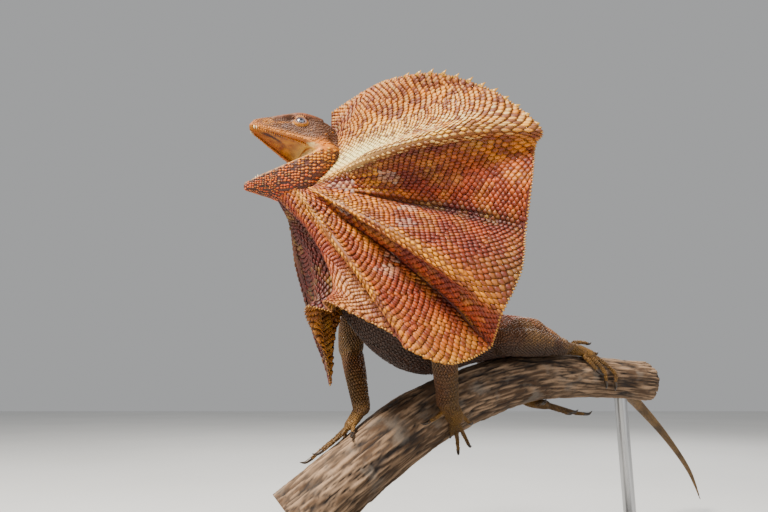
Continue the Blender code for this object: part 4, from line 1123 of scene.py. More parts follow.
def joined(forms):
    """One mesh that holds all the given ones."""
    whole = bmesh.new()
    for form in forms:
        part = bpy.data.meshes.new("part")
        form.to_mesh(part)
        form.free()
        whole.from_mesh(part)
        bpy.data.meshes.remove(part)
    return whole


def mark(piece, colours):
    """Give each vertex of a piece its own colour."""
    # The colours hold each piece's markings and, in places, painted shade.
    layer = piece.data.color_attributes.new("markings_and_painted_shade", "FLOAT_COLOR", "POINT")
    values = np.ones((len(piece.data.vertices), 4), dtype=np.float32)
    values[:, :3] = np.clip(colours, 0.002, 1.0)
    layer.data.foreach_set("color", values.ravel())


def mottle(piece, first, second, share, strength, grain, shade=1.0):
    """Mix two colours over a piece by a noise."""
    mark(piece, np.array([mixed(first, second, share + strength * noise.noise(vert.co * grain)) * shade
                          for vert in piece.data.vertices]))


def dress(piece, nodes=()):
    """The piece rides on the model's one body, in place of its nodes."""
    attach(piece, "root")
    if nodes:
        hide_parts(*nodes)


# A scale's shape: eight points round its edge, two along its keel and one sunk under it.
EDGE_TURNS = [2 * math.pi * j / 8 for j in range(8)]
DIAMOND = 1.35
EDGE_REACH = [0.5 / (abs(math.cos(t)) ** DIAMOND + abs(math.sin(t)) ** DIAMOND) ** (1 / DIAMOND)
              for t in EDGE_TURNS]
SCALE_SHAPE = np.array(
    [(reach * math.cos(t) + 0.05 * max(math.cos(t), 0), reach * math.sin(t) * (1 - 0.15 * math.cos(t)),
      0.12 + 0.55 * max(math.cos(t), -0.3)) for t, reach in zip(EDGE_TURNS, EDGE_REACH)]
    + [(-0.16, 0, 0.80), (0.22, 0, 1.0), (0.0, 0.0, -0.8)])
KEEL_BACK = 8
KEEL_FRONT = 9
SUNK = 10
SCALE_FACES = np.array(
    [(0, 1, KEEL_FRONT), (1, 2, KEEL_FRONT), (2, 3, KEEL_BACK), (3, 4, KEEL_BACK), (4, 5, KEEL_BACK),
     (5, 6, KEEL_BACK), (6, 7, KEEL_FRONT), (7, 0, KEEL_FRONT), (2, KEEL_BACK, KEEL_FRONT),
     (6, KEEL_FRONT, KEEL_BACK)] + [((j + 1) % 8, j, SUNK) for j in range(8)])
# Painted shade on each scale: the root, which lies under the tip of the scale before it, is darker.
ROOT_SHADE = np.array([1.0, 1.0, 0.80, 0.42, 0.34, 0.42, 0.80, 1.0, 1.0, 1.0, 0.34])
PATCH = 0.003


class Coat:
    """A growing list of scales, made into one mesh at the end."""

    def __init__(self):
        self.rows = []

    def add(self, root, along, normal, length, width, height, edge, top, uv):
        self.rows.append((*root, *along, *normal, length, width, height, *edge, *top, *uv))

    def build(self, name, material):
        rows = np.array(self.rows)
        root, along, normal = rows[:, 0:3], rows[:, 3:6], unit(rows[:, 6:9])
        along = unit(along - normal * np.sum(along * normal, axis=1)[:, None])
        side = np.cross(normal, along)
        size = rows[:, 9:12]
        edge, top, uv = rows[:, 12:15], rows[:, 15:18], rows[:, 18:20]
        count = len(rows)
        shape = SCALE_SHAPE[None, :, :] * size[:, None, :]
        points = (root[:, None, :] + shape[:, :, 0:1] * along[:, None, :]
                  + shape[:, :, 1:2] * side[:, None, :] + shape[:, :, 2:3] * normal[:, None, :])
        corners = len(SCALE_SHAPE)
        faces = (SCALE_FACES[None, :, :] + (np.arange(count) * corners)[:, None, None]).reshape(-1, 3)
        mesh = bpy.data.meshes.new(name)
        mesh.vertices.add(count * corners)
        mesh.vertices.foreach_set("co", (points.reshape(-1, 3) * MM).astype(np.float32).ravel())
        mesh.loops.add(len(faces) * 3)
        mesh.loops.foreach_set("vertex_index", faces.astype(np.int32).ravel())
        mesh.polygons.add(len(faces))
        mesh.polygons.foreach_set("loop_start", np.arange(0, len(faces) * 3, 3, dtype=np.int32))
        mesh.update(calc_edges=True)
        mesh.shade_smooth()
        spread = (uv[:, None, :] + SCALE_SHAPE[None, :, :2] * PATCH).reshape(-1, 2)
        layer = mesh.uv_layers.new(name="OFBake")
        layer.data.foreach_set("uv", np.clip(spread[faces.ravel()], 0, 1).astype(np.float32).ravel())
        mesh.materials.append(material)
        piece = bpy.data.objects.new(name, mesh)
        bpy.context.scene.collection.objects.link(piece)
        # Painted shade darkens each scale toward its root.
        colours = edge[:, None, :] * ROOT_SHADE[None, :, None]
        colours[:, KEEL_BACK] = top
        colours[:, KEEL_FRONT] = top
        mark(piece, colours.reshape(-1, 3))
        return piece


# The camera, light and floor


def set_stage():
    camera_data = bpy.data.cameras.new("camera")
    camera_data.sensor_width = CAMERA_SENSOR
    camera_data.lens = CAMERA_LENS
    camera_data.clip_start = 0.01
    camera = bpy.data.objects.new("camera", camera_data)
    camera.location = CAMERA_AT
    camera.rotation_euler = (math.pi / 2 + math.radians(CAMERA_TILT), 0.0, 0.0)
    bpy.context.scene.collection.objects.link(camera)
    bpy.context.scene.camera = camera

    def lamp(name, place, size, power, colour):
        data = bpy.data.lights.new(name, "AREA")
        data.shape = "DISK"
        data.size = size
        data.energy = power
        data.color = colour
        light = bpy.data.objects.new(name, data)
        light.location = place
        aim = Vector(LAMPS_AIM) - Vector(place)
        light.rotation_euler = aim.to_track_quat("-Z", "Y").to_euler()
        bpy.context.scene.collection.objects.link(light)

    lamp("key_light", (-0.62, -0.62, 1.12), 0.34, 50.0, (1.0, 0.95, 0.86))
    lamp("fill_light", (0.9, -0.8, 0.6), 0.9, 3.5, (0.92, 0.96, 1.0))
    lamp("back_light", (0.5, 1.0, 1.0), 0.6, 9.0, (1.0, 0.98, 0.95))
    world = bpy.data.worlds.new("studio")
    world.use_nodes = True
    world.node_tree.nodes["Background"].inputs["Color"].default_value = (0.86, 0.87, 0.88, 1.0)
    world.node_tree.nodes["Background"].inputs["Strength"].default_value = 0.46
    bpy.context.scene.world = world

    floor = bmesh.new()
    bmesh.ops.create_grid(floor, x_segments=8, y_segments=8, size=3000.0)
    bmesh.ops.translate(floor, vec=(0, 0, -0.05), verts=floor.verts)
    ground = object_of("studio_floor", floor, plain_material(
        "pale_floor", (0.70, 0.70, 0.69), (0.74, 0.74, 0.73), 3.0, 0.7))


# The skin


DENTS = (
    ("ear", (-9.0, 18.6, 13.0), 4.4, -3.2),
    ("nostril", NOSTRIL_AT, 1.1, -2.0),
    ("hollow before the eye", (16.8, 10.6, 25.4), 2.3, -1.4),
    ("pleat of the cheek", (2.0, 17.6, 14.0), 2.0, -0.4),
    ("hollow over the cheek", (22.0, 10.0, 21.0), 3.0, -0.5),
    ("edge of the upper lip", (24.0, 9.6, 15.6), 2.2, 0.4),
    ("cheek", (-7.0, 18.6, 5.0), 6.0, 0.9),
    ("temple", (1.0, 16.0, 24.0), 5.0, 0.5),
    ("snout tip", (36.0, 2.6, 22.6), 2.4, 0.3),
    ("jaw muscle", (3.0, 17.0, 10.5), 5.0, 0.6),
    ("fold behind the mouth", (-7.5, 19.0, -3.0), 2.4, -1.0),
    ("throat fold", (2.0, 13.0, -16.0), 3.0, -0.8),
)


def make_skin(parts):
    forms = [part.form(-SKIN_DEPTH) for part in parts]
    forms += [head_form(-SKIN_DEPTH), jaw_form(-SKIN_DEPTH)]
    for side in (1, -1):
        brow = [(*head_point(f, l * side, u), thick, thick, thick) for f, l, u, thick in BROW_LINE]
        forms.append(Flesh("brow", brow, crown=CROWN, rings=24, sides=12).form(-0.2))
        forms.append(lid_form(side, LID_RADIUS - 0.25, 0.9, 2.7))
        forms.append(cheek_web(side))
    gullet = [(*head_point(f, 0, u), wide, high, high) for f, u, wide, high in
              ((-12, 2, 13, 9), (-7, 3, 14.5, 9), (-3, 4, 14.5, 8.5), (0.5, 4.4, 13.5, 6.5))]
    forms.append(Flesh("gullet", gullet, crown=CROWN, rings=24, sides=24).form())
    rough = object_of("skin", joined(forms), None)
    cast = rough.modifiers.new("cast", "REMESH")
    cast.mode = "VOXEL"
    cast.voxel_size = VOXEL * MM
    cast.use_smooth_shade = True
    cast.adaptivity = 0.0
    evaluated = rough.evaluated_get(bpy.context.evaluated_depsgraph_get())
    solid = bpy.data.meshes.new_from_object(evaluated)
    rough.modifiers.clear()
    bm = bmesh.new()
    bm.from_mesh(solid)
    bpy.data.meshes.remove(solid)
    bpy.data.objects.remove(rough, do_unlink=True)
    bmesh.ops.scale(bm, vec=(1 / MM,) * 3, verts=bm.verts)
    for _ in range(3):
        bmesh.ops.smooth_vert(bm, verts=bm.verts, factor=0.5, use_axis_x=True, use_axis_y=True,
                              use_axis_z=True)
    bm.normal_update()
    moves = []
    for vert in bm.verts:
        push = 0.0
        if (vert.co - HUB).length < 50:
            side = 1 if (vert.co - HUB).dot(LEFT) > 0 else -1
            for _, (f, l, u), radius, amount in DENTS:
                distance = (vert.co - head_point(f, l * side, u)).length
                if distance < radius * 2.2:
                    push += amount * near(distance, 0, radius)
        elif vert.co.x > -100 and vert.co.z > 120:
            crease = noise.noise(Vector((vert.co.x * 0.16, vert.co.y * 0.05, vert.co.z * 0.09)))
            push -= 0.55 * max(0.0, 1 - abs(crease) * 9)
        moves.append(vert.normal * push)
    for vert, move in zip(bm.verts, moves):
        vert.co += move
    bm.normal_update()
    return bm


def nearest_parts(parts):
    """A lookup from any place on the skin to the body part and the place along it."""
    samples = []
    for part in parts:
        last = len(part.rows) - 1
        count = max(last * 6, 8)
        for i in range(count + 1):
            at = last * i / count
            section = section_at(part.rows, at, part.crown)
            for j in range(10):
                samples.append((section_point(section, 2 * math.pi * j / 10, -SKIN_DEPTH, part.power),
                                part.region, at))
    tree = KDTree(len(samples))
    for i, (point, _, _) in enumerate(samples):
        tree.insert(point, i)
    tree.balance()
    return tree, samples


def on_head(point):
    f, _, u = head_place(point)
    return f > -16 and (u > -4 or f > -8) and u > lower_lip(f) - 29 and point.z > 225


def skin_tone(point, normal, tree, samples):
    if on_head(point):
        return head_tone(point, normal)
    _, index, _ = tree.find(point)
    _, region, at = samples[index]
    return body_tone(region, point, normal, at)


class Sower:
    """Sets scales on the skin: each root drops onto the skin, and keeps its distance from others."""

    def __init__(self, tree):
        self.tree = tree
        self.cells = {}

    def land(self, point, away, reach, spacing):
        place, normal, _, distance = self.tree.find_nearest(point)
        if place is None or distance > reach or normal.dot(away) < 0.15:
            return None
        key = tuple(int(math.floor(c / spacing)) for c in place)
        for dx in (-1, 0, 1):
            for dy in (-1, 0, 1):
                for dz in (-1, 0, 1):
                    for other in self.cells.get((key[0] + dx, key[1] + dy, key[2] + dz, spacing), ()):
                        if (other - place).length < spacing:
                            return None
        self.cells.setdefault((*key, spacing), []).append(place)
        return place, normal


def scale_lines(part):
    """Each line of scales: its place along the part, pitch, share of the girth and shift on a cap."""
    last = len(part.rows) - 1
    length = sum((Vector(a[:3]) - Vector(b[:3])).length for a, b in zip(part.rows, part.rows[1:]))
    lines = []
    distance = 0.0
    while distance < length:
        at = distance / length * last
        pitch = part.pitch
        if part.region == "tail":
            pitch = max(1.0, part.pitch * min(1.0, (smooth_row(part.rows, at)[4] + 2.0) / 9.0))
        lines.append((at, pitch, 1.0, 0.0))
        distance += pitch * LINE_STEP
    if part.region in ("arm", "thigh", "shin"):
        for row, at, outward in ((part.rows[0], 0.0, -1.0), (part.rows[-1], float(last), 1.0)):
            step = part.pitch * LINE_STEP / row[4]
            bend = step
            while bend < math.pi / 2:
                lines.append((at, part.pitch, math.cos(bend), outward * row[4] * math.sin(bend)))
                bend += step
    return lines


def grow_body_scales(parts, sower, coats):
    """Rows of keeled scales round every part, pointing along it toward the tail or the toes."""
    rng = random.Random(21)
    cells = {"trunk": (2, 1), "tail": (1, 1), "limb": (4, 2), "hand": (6, 4)}
    seen = dict.fromkeys(cells, 0)
    for part in parts:
        columns, lines = cells[part.coat]
        number = seen[part.coat]
        seen[part.coat] += 1
        corner = ((number % columns) / columns, (number // columns) / lines)
        size = (0.97 / columns, 0.97 / lines)
        for line, (at, pitch, girth, shift) in enumerate(scale_lines(part)):
            share = at / (len(part.rows) - 1)
            section = section_at(part.rows, at, part.crown)
            half_width, rise, drop = section[4]
            around = math.pi * (half_width + (rise + drop) / 2) * girth
            count = max(int(around / pitch), 5)
            for j in range(count):
                turn = 2 * math.pi * (j + 0.5 * (line % 2)) / count + rng.uniform(-0.1, 0.1) / count
                point = section_point(section, turn, -SKIN_DEPTH, part.power, girth, shift)
                away = (point - section[0]).normalized()
                if on_head(point) and part.region == "neck":
                    continue
                landed = sower.land(point, away, LANDING_REACH, pitch * ROOT_SPACING)
                if landed is None:
                    continue
                place, normal = landed
                tone = body_tone(part.region, place, normal, at) * rng.uniform(0.82, 1.2)
                spiky = 1.0
                if part.region in ("torso", "tail") and math.sin(turn) > 0.93 and at > 0.4:
                    spiky = 1.5
                coats[part.coat].add(
                    place, section[1] + normal * 0.16 * spiky, normal, pitch * 1.30, pitch * 0.98,
                    pitch * 0.31 * spiky, mixed(tone, DEEP_BROWN, 0.20),
                    mixed(tone, BEIGE, min(2.0 * tone[1], 0.22) * rng.random()),
                    (corner[0] + size[0] * (turn / (2 * math.pi) % 1.0), corner[1] + size[1] * share))


def grow_head_scales(sower, coat):
    """Small scales over the skull and jaw, plates along the lips and beads round the eyes."""
    rng = random.Random(22)
    for side in (1, -1):
        outward, across, upward = eye_axes(side)
        eye = eye_centre(side)
        for ring, (radius, count, size) in enumerate(EYE_BEADS):
            for j in range(count):
                turn = 2 * math.pi * (j + 0.5 * ring) / count
                spoke = across * math.cos(turn) * 1.12 + upward * math.sin(turn) * 0.92
                landed = sower.land(eye + outward * 2.2 + spoke * radius, outward, 2.6, size * 0.6)
                if landed is None:
                    continue
                place, normal = landed
                tone = head_tone(place, normal)
                if ring == 1:
                    tone = mixed(tone, paint(240, 172, 92), 0.85)
                tone = tone * rng.uniform(0.85, 1.15)
                coat.add(place, spoke, normal, size * 1.2, size * 0.95, size * 0.34,
                         mixed(tone, HEAD_BROWN, 0.25), tone,
                         (0.80 + 0.02 * ring, 0.5 + 0.45 * j / count * side))
        for upper in (True, False):
            line = HEAD_LINE if upper else JAW_LINE
            surface = head_surface if upper else jaw_surface
            f = -1.5
            while f < (36.5 if upper else 40.0):
                at = place_on_line(line, f)
                for row in (0, 1):
                    degrees = (5 + 9 * row) if upper else -(8 + 12 * row)
                    turn = math.radians(degrees if side > 0 else 180 - degrees)
                    size = 1.35 - 0.25 * row
                    landed = sower.land(surface(at, turn, 0.0), LEFT * side, 2.2, size * 0.6)
                    if landed is None:
                        continue
                    place, normal = landed
                    tone = head_tone(place, normal) * rng.uniform(0.88, 1.15)
                    coat.add(place, -FORWARD, normal, 1.75, size, 0.28, mixed(tone, HEAD_BROWN, 0.25),
                             tone, (0.9 + 0.02 * row + 0.04 * upper, 0.5 + 0.012 * f * side))
                f += 1.28
    last = len(HEAD_LINE) - 1
    place_along = 0.15
    number = 0
    while place_along < last + 0.001:
        f, half_width, height, _ = smooth_row(HEAD_LINE, place_along)
        size = 1.35 if f < 0 else 1.15 if f < 28 else 1.0
        count = max(int(3.4 * max(half_width, height * 0.5) / size), 6)
        centre = head_point(f, 0, upper_lip(f) + 6)
        for j in range(count):
            degrees = -35 + 250 * (j + 0.5 * (number % 2) + rng.uniform(-0.3, 0.3)) / count
            turn = math.radians(degrees)
            if math.sin(turn) < 0 and f > -4:
                continue
            point = head_surface(place_along + rng.uniform(-0.03, 0.03), turn, -SKIN_DEPTH)
            landed = sower.land(point, (point - centre).normalized(), 2.4, size * 0.70)
            if landed is None or eye_ring(landed[0]) < 5.9 and (landed[0] - centre).length > 8:
                continue
            place, normal = landed
            if (place - nostril_centre(head_place(place)[1])).length < 1.5:
                continue
            tone = head_tone(place, normal) * rng.uniform(0.72, 1.28)
            if rng.random() < 0.03 and head_place(place)[2] < 27:
                tone = mixed(tone, paint(236, 160, 70), 0.8)
            coat.add(place, -FORWARD + normal * 0.1, normal, size * 1.35, size * 1.02, size * 0.34,
                     mixed(tone, HEAD_DARK, 0.30), mixed(tone, BEIGE, 0.15 * rng.random()),
                     (0.37 * (degrees + 35) / 250, place_along / last * 0.97))
        slope = (smooth_row(HEAD_LINE, min(place_along + 0.1, last))[0] - f) / 0.1
        place_along += size * 0.90 / max(slope, 1.5)
        number += 1


def grow_jaw_scales(sower, coat):
    """Separate oval scales on the dark skin of the jaw, smaller toward the chin."""
    rng = random.Random(23)
    last = len(JAW_LINE) - 1
    place_along = 0.1
    number = 0
    while place_along < last:
        f, half_width, depth = smooth_row(JAW_LINE, place_along)
        size = 2.6 if f < 12 else 2.1 if f < 26 else 1.6
        count = max(int(3.1 * max(half_width, depth) / (size * 0.80)), 6)
        centre = head_point(f, 0, lower_lip(f) - 4)
        for j in range(count):
            degrees = 180 + 180 * (j + 0.5 * (number % 2) + rng.uniform(-0.2, 0.2)) / count
            point = jaw_surface(place_along + rng.uniform(-0.03, 0.03), math.radians(degrees), -SKIN_DEPTH)
            landed = sower.land(point, (point - centre).normalized(), 2.4, size * 0.62)
            if landed is None:
                continue
            place, normal = landed
            local_f, _, local_u = head_place(place)
            edge, top = jaw_scale_tones(local_f, local_u, rng)
            coat.add(place, -FORWARD + CROWN * 0.30, normal, size * rng.uniform(0.95, 1.15),
                     size * rng.uniform(0.58, 0.72), size * 0.24, edge, top,
                     (0.4 + 0.37 * (degrees - 180) / 180, place_along / last * 0.97))
        slope = (smooth_row(JAW_LINE, min(place_along + 0.1, last))[0] - f) / 0.1
        place_along += size * 0.84 / max(slope, 1.5)
        number += 1


def run_along(line, close=1.0):
    """How far along a line each of its points lies, longer where the scales lie closer."""
    return np.concatenate([[0], np.cumsum(np.linalg.norm(np.diff(line, axis=0), axis=1) * close)])


def rim_places(sheet, fine, spacing):
    """Evenly spaced places along the rim."""
    run = run_along(frill_points(sheet, fine, np.ones(len(fine))))
    count = int(run[-1] / spacing)
    return np.interp((np.arange(count) + 0.5) / count * run[-1], run, fine)


def scale_columns(sheet, v, width):
    """Where the columns of scales cross the frill, by half columns, closer on the sharp folds."""
    fine = np.linspace(0, LAST_FOLD, FINE_PLACES)
    line = frill_points(sheet, fine, np.full(FINE_PLACES, v))
    close = np.ones(FINE_PLACES - 1)
    for middle, height, _, _ in SHARP_FOLDS:
        if height > 0:
            close += 0.8 * np.exp(-((fine[1:] - middle) / 0.30) ** 2)
    run = run_along(line, close)
    count = 2 * int(run[-1] / width)
    return np.interp(np.linspace(0, run[-1], count + 1), run, fine)


def make_frill(side, suffix, material):
    """One side of the frill: its membrane, and a coat of overlapping scales on each face."""
    sheet = frill_sheet(side)
    bm = bmesh.new()
    bmesh.ops.create_grid(bm, x_segments=MEMBRANE_COLUMNS, y_segments=MEMBRANE_ROWS, size=1.0)
    at_layer = bm.verts.layers.float.new("at")
    out_layer = bm.verts.layers.float.new("out")
    front_layer = bm.verts.layers.float.new("front")
    at = np.array([(vert.co.x + 1) / 2 * LAST_FOLD for vert in bm.verts])
    v = np.array([0.02 + 0.98 * (vert.co.y + 1) / 2 for vert in bm.verts])
    points, _, normals = frill_frames(sheet, side, at, v)
    half = MEMBRANE / 2 * (1.0 - 0.3 * v ** 2)
    for i, vert in enumerate(bm.verts):
        vert.co = points[i] + normals[i] * half[i]
        vert[at_layer] = at[i]
        vert[out_layer] = v[i]
        vert[front_layer] = 1.0
    grown = bmesh.ops.extrude_face_region(bm, geom=bm.faces[:])
    backs = [vert for vert in grown["geom"] if isinstance(vert, bmesh.types.BMVert)]
    lookup = {(round(a, 4), round(b, 4)): i for i, (a, b) in enumerate(zip(at, v))}
    for vert in backs:
        i = lookup[(round(vert[at_layer], 4), round(vert[out_layer], 4))]
        vert.co = points[i] - normals[i] * half[i]
        vert[front_layer] = 0.0
    face_outward(bm)
    colours = []
    for vert in bm.verts:
        front = vert[front_layer] > 0.5
        tone = frill_tone(side, front, vert[at_layer], vert[out_layer], vert.co)
        pale = near(vert[at_layer], 5.2, 1.1) * near(vert[out_layer], 0.2, 0.25) if front else 0.0
        colours.append(mixed(tone, MAROON if front else DEEP_BROWN, 0.70 * (1 - 0.8 * pale)) * 0.8)
    membrane = object_of("frill_skin_" + suffix, bm, material)
    mark(membrane, np.array(colours))
    dress(membrane, ["frill_" + suffix + "_" + name for name in FRILL_NODES])

    rng = random.Random(31 if side > 0 else 32)
    step = ROW_SPAN / FRILL_SCALE_ROWS
    for front in (True, False):
        face = 1.0 if front else -1.0
        coat = Coat()
        for row in range(FRILL_SCALE_ROWS):
            v_row = FIRST_ROW + ROW_SPAN * (row + 0.5) / FRILL_SCALE_ROWS
            v_band = FIRST_ROW + ROW_SPAN * (row // LATTICE_ROWS + 0.5) * LATTICE_ROWS / FRILL_SCALE_ROWS
            halves = scale_columns(sheet, v_band, FRILL_SCALE * (0.66 + 0.36 * v_band))
            for skip in (1, 2, 4):
                if row % skip:
                    continue
                odd = row // skip % 2
                at_row = halves[1:-1][odd::2]
                v_values = np.full(len(at_row), v_row)
                widths = np.linalg.norm(frill_points(sheet, halves[2:][odd::2], v_values)
                                        - frill_points(sheet, halves[:-2][odd::2], v_values), axis=1)
                places, out, normal = frill_frames(sheet, side, at_row, v_values)
                further = frill_points(sheet, at_row, np.minimum(v_values + step, 1.0))
                pitch = np.linalg.norm(further - frill_points(sheet, at_row, v_values - step), axis=1) / 2
                wanted = np.where(pitch > 1.15, 1, np.where(pitch > 0.58, 2, 4))
                for i in np.nonzero(wanted == skip)[0]:
                    place = Vector(places[i])
                    edge, top = frill_scale_colours(side, front, at_row[i], v_row, place, rng)
                    length = pitch[i] * skip * 2.10 * rng.uniform(0.90, 1.10)
                    smooth = near(at_row[i], 5.1, 1.1) * near(v_row, 0.2, 0.22)
                    height = (0.55 + 0.35 * rng.random()) * (1.0 - 0.6 * smooth)
                    root = places[i] + normal[i] * face * (MEMBRANE / 2 - 0.04)
                    coat.add(root + out[i] * pitch[i] * rng.uniform(-0.2, 0.2),
                             out[i] + normal[i] * face * 0.14, normal[i] * face, length,
                             max(widths[i], 1.0) * rng.uniform(0.92, 1.06), height, edge, top,
                             (at_row[i] / LAST_FOLD, v_row))
        if front:
            add_rim_scales(coat, sheet, side, rng)
        piece = coat.build("frill_scales_" + suffix + ("_front" if front else "_back"), material)
        dress(piece)


def add_rim_scales(coat, sheet, side, rng):
    """A serrated edge of pointed scales all round the rim."""
    at_row = rim_places(sheet, np.linspace(0, LAST_FOLD, FINE_PLACES), 1.9)
    places, out, normal = frill_frames(sheet, side, at_row, np.full(len(at_row), 0.995))
    for i in range(len(at_row)):
        spine = near(at_row[i], 3.6, 2.2)
        length = 2.0 + 0.8 * spine * rng.random()
        tone = mixed(TAN, BROWN_TAN, rng.random() * 0.6)
        tone = mixed(tone, frill_tone(side, True, at_row[i], 1.0, Vector(places[i])), 0.4)
        coat.add(places[i] + out[i] * length * 0.10, out[i], normal[i], length, 1.7, 0.75,
                 tone * 0.8, mixed(tone, PALE_YELLOW, 0.3), (at_row[i] / LAST_FOLD, 0.997))


def make_rim_spines(material):
    """The row of larger pointed scales that stands along the top of the rim."""
    rng = random.Random(41)
    forms = []
    for side in (1, -1):
        sheet = frill_sheet(side)
        at_row = rim_places(sheet, np.linspace(1.2, 6.0, 400), 7.6)
        places, out, normal = frill_frames(sheet, side, at_row, np.full(len(at_row), 1.0))
        for i in range(len(at_row)):
            length = rng.uniform(3.6, 5.2) * (0.55 + 0.45 * near(at_row[i], 3.6, 1.8))
            bm = bmesh.new()
            bmesh.ops.create_cone(bm, cap_ends=True, segments=10, radius1=1.7, radius2=0.05, depth=length)
            bmesh.ops.translate(bm, vec=(0, 0, length / 2 - 0.5), verts=bm.verts)
            bmesh.ops.scale(bm, vec=(1.0, 0.5, 1.0), verts=bm.verts)
            toward = Vector(out[i])
            lean = (toward - Vector(normal[i]) * 0.12 + UP * 0.15).normalized()
            flat = Vector(normal[i])
            sideways = flat.cross(lean).normalized()
            turn = Matrix((sideways, lean.cross(sideways), lean)).transposed()
            bmesh.ops.rotate(bm, cent=(0, 0, 0), matrix=turn, verts=bm.verts)
            bmesh.ops.translate(bm, vec=places[i], verts=bm.verts)
            forms.append(bm)
    piece = object_of("rim_spines", joined(forms), material)
    mottle(piece, TAN, PALE_YELLOW, 0.4, 0.5, 400, 0.85)
    dress(piece)


def make_eye(side, suffix, material):
    """An eyeball with a bulging cornea, a ringed iris and a round pupil, looking out of its lids."""
    outward, across, _ = eye_axes(side)
    centre = eye_centre(side)
    bm = bmesh.new()
    bmesh.ops.create_uvsphere(bm, u_segments=48, v_segments=40, radius=EYE_RADIUS - 0.05)
    colours = []
    for vert in bm.verts:
        height = vert.co.z / (EYE_RADIUS - 0.05)
        tilt = math.degrees(math.acos(max(-1.0, min(1.0, height))))
        turn = math.atan2(vert.co.y, vert.co.x)
        streak = noise.noise(Vector((math.cos(turn) * 4, math.sin(turn) * 4, tilt * 0.12)))
        pupil = 15 + 7 * noise.noise(Vector((math.cos(turn) * 2.4, math.sin(turn) * 2.4, 2)))
        if tilt < pupil:
            colour = paint(9, 8, 10)
        elif tilt < 33:
            colour = mixed(paint(128, 130, 146), paint(34, 36, 48), 0.45 + 2.0 * streak)
            colour = mixed(colour, paint(206, 202, 204), near(tilt, 29, 2.5) * 0.4)
        elif tilt < 42:
            colour = paint(20, 16, 18)
        else:
            colour = paint(84, 66, 58)
        colours.append(colour)
        vert.co *= 1.0 + 0.05 * near(tilt, 0, 30)
    turn = Matrix((across, outward.cross(across), outward)).transposed()
    bmesh.ops.rotate(bm, cent=(0, 0, 0), matrix=turn, verts=bm.verts)
    bmesh.ops.translate(bm, vec=centre, verts=bm.verts)
    piece = object_of("eyeball_" + suffix, bm, material)
    mark(piece, np.array(colours))
    dress(piece, ["eye_" + suffix])


def make_claws(nails, material):
    forms = [Flesh("claw", nail, rings=22, sides=12, round_start=False).form() for nail in nails]
    piece = object_of("claws", joined(forms), material)
    mottle(piece, paint(70, 56, 44), paint(30, 24, 20), 0.5, 1.0, 600)
    dress(piece)


def make_teeth(material):
    """Fine teeth set low inside both lips, with brighter, longer ones at the tip of each jaw."""
    rng = random.Random(51)
    forms = []
    bright = []
    for upper in (True, False):
        line = HEAD_LINE if upper else JAW_LINE
        lip = upper_lip if upper else lower_lip
        toward = -CROWN if upper else CROWN
        for side in (1, -1):
            f = 4.0
            while f < 37.0:
                front = f > 34.0
                half_width = smooth_row(line, place_on_line(line, f))[1] * (0.78 if front else 0.74)
                length = rng.uniform(1.1, 1.5) if front else rng.uniform(0.75, 1.0)
                bm = bmesh.new()
                bmesh.ops.create_cone(bm, cap_ends=True, segments=8, radius1=0.62, radius2=0.12,
                                      depth=length + 0.8)
                turn = toward.to_track_quat("Z", "Y").to_matrix()
                bmesh.ops.rotate(bm, cent=(0, 0, 0), matrix=turn, verts=bm.verts)
                sunk = (0.15 if front else 0.55) if upper else 0.15
                root = head_point(f, half_width * side, lip(f) - sunk)
                bmesh.ops.translate(bm, vec=root + toward * (length - 0.8) / 2, verts=bm.verts)
                bright += [front] * len(bm.verts)
                forms.append(bm)
                f += 1.25
    piece = object_of("teeth", joined(forms), material)
    colours = []
    for vert, front in zip(piece.data.vertices, bright):
        ivory = paint(236, 220, 186) if front else paint(196, 132, 70)
        colours.append(mixed(ivory, paint(170, 116, 66), 0.3 + 0.8 * noise.noise(vert.co * 500)))
    mark(piece, np.array(colours))
    dress(piece)


def make_tongue(material):
    rows = [(*head_point(f, 0, lower_lip(f) + lift), wide, high, high)
            for f, lift, wide, high in TONGUE_LINE]
    bm = Flesh("tongue", rows, crown=CROWN, rings=48, sides=36).form()
    for vert in bm.verts:
        vert.co -= CROWN * 0.5 * near(head_place(vert.co)[1], 0, 0.9)
    piece = object_of("tongue_flesh", bm, material)
    mottle(piece, paint(196, 122, 98), paint(150, 84, 66), 0.5, 1.0, 300)
    dress(piece, ["tongue"])


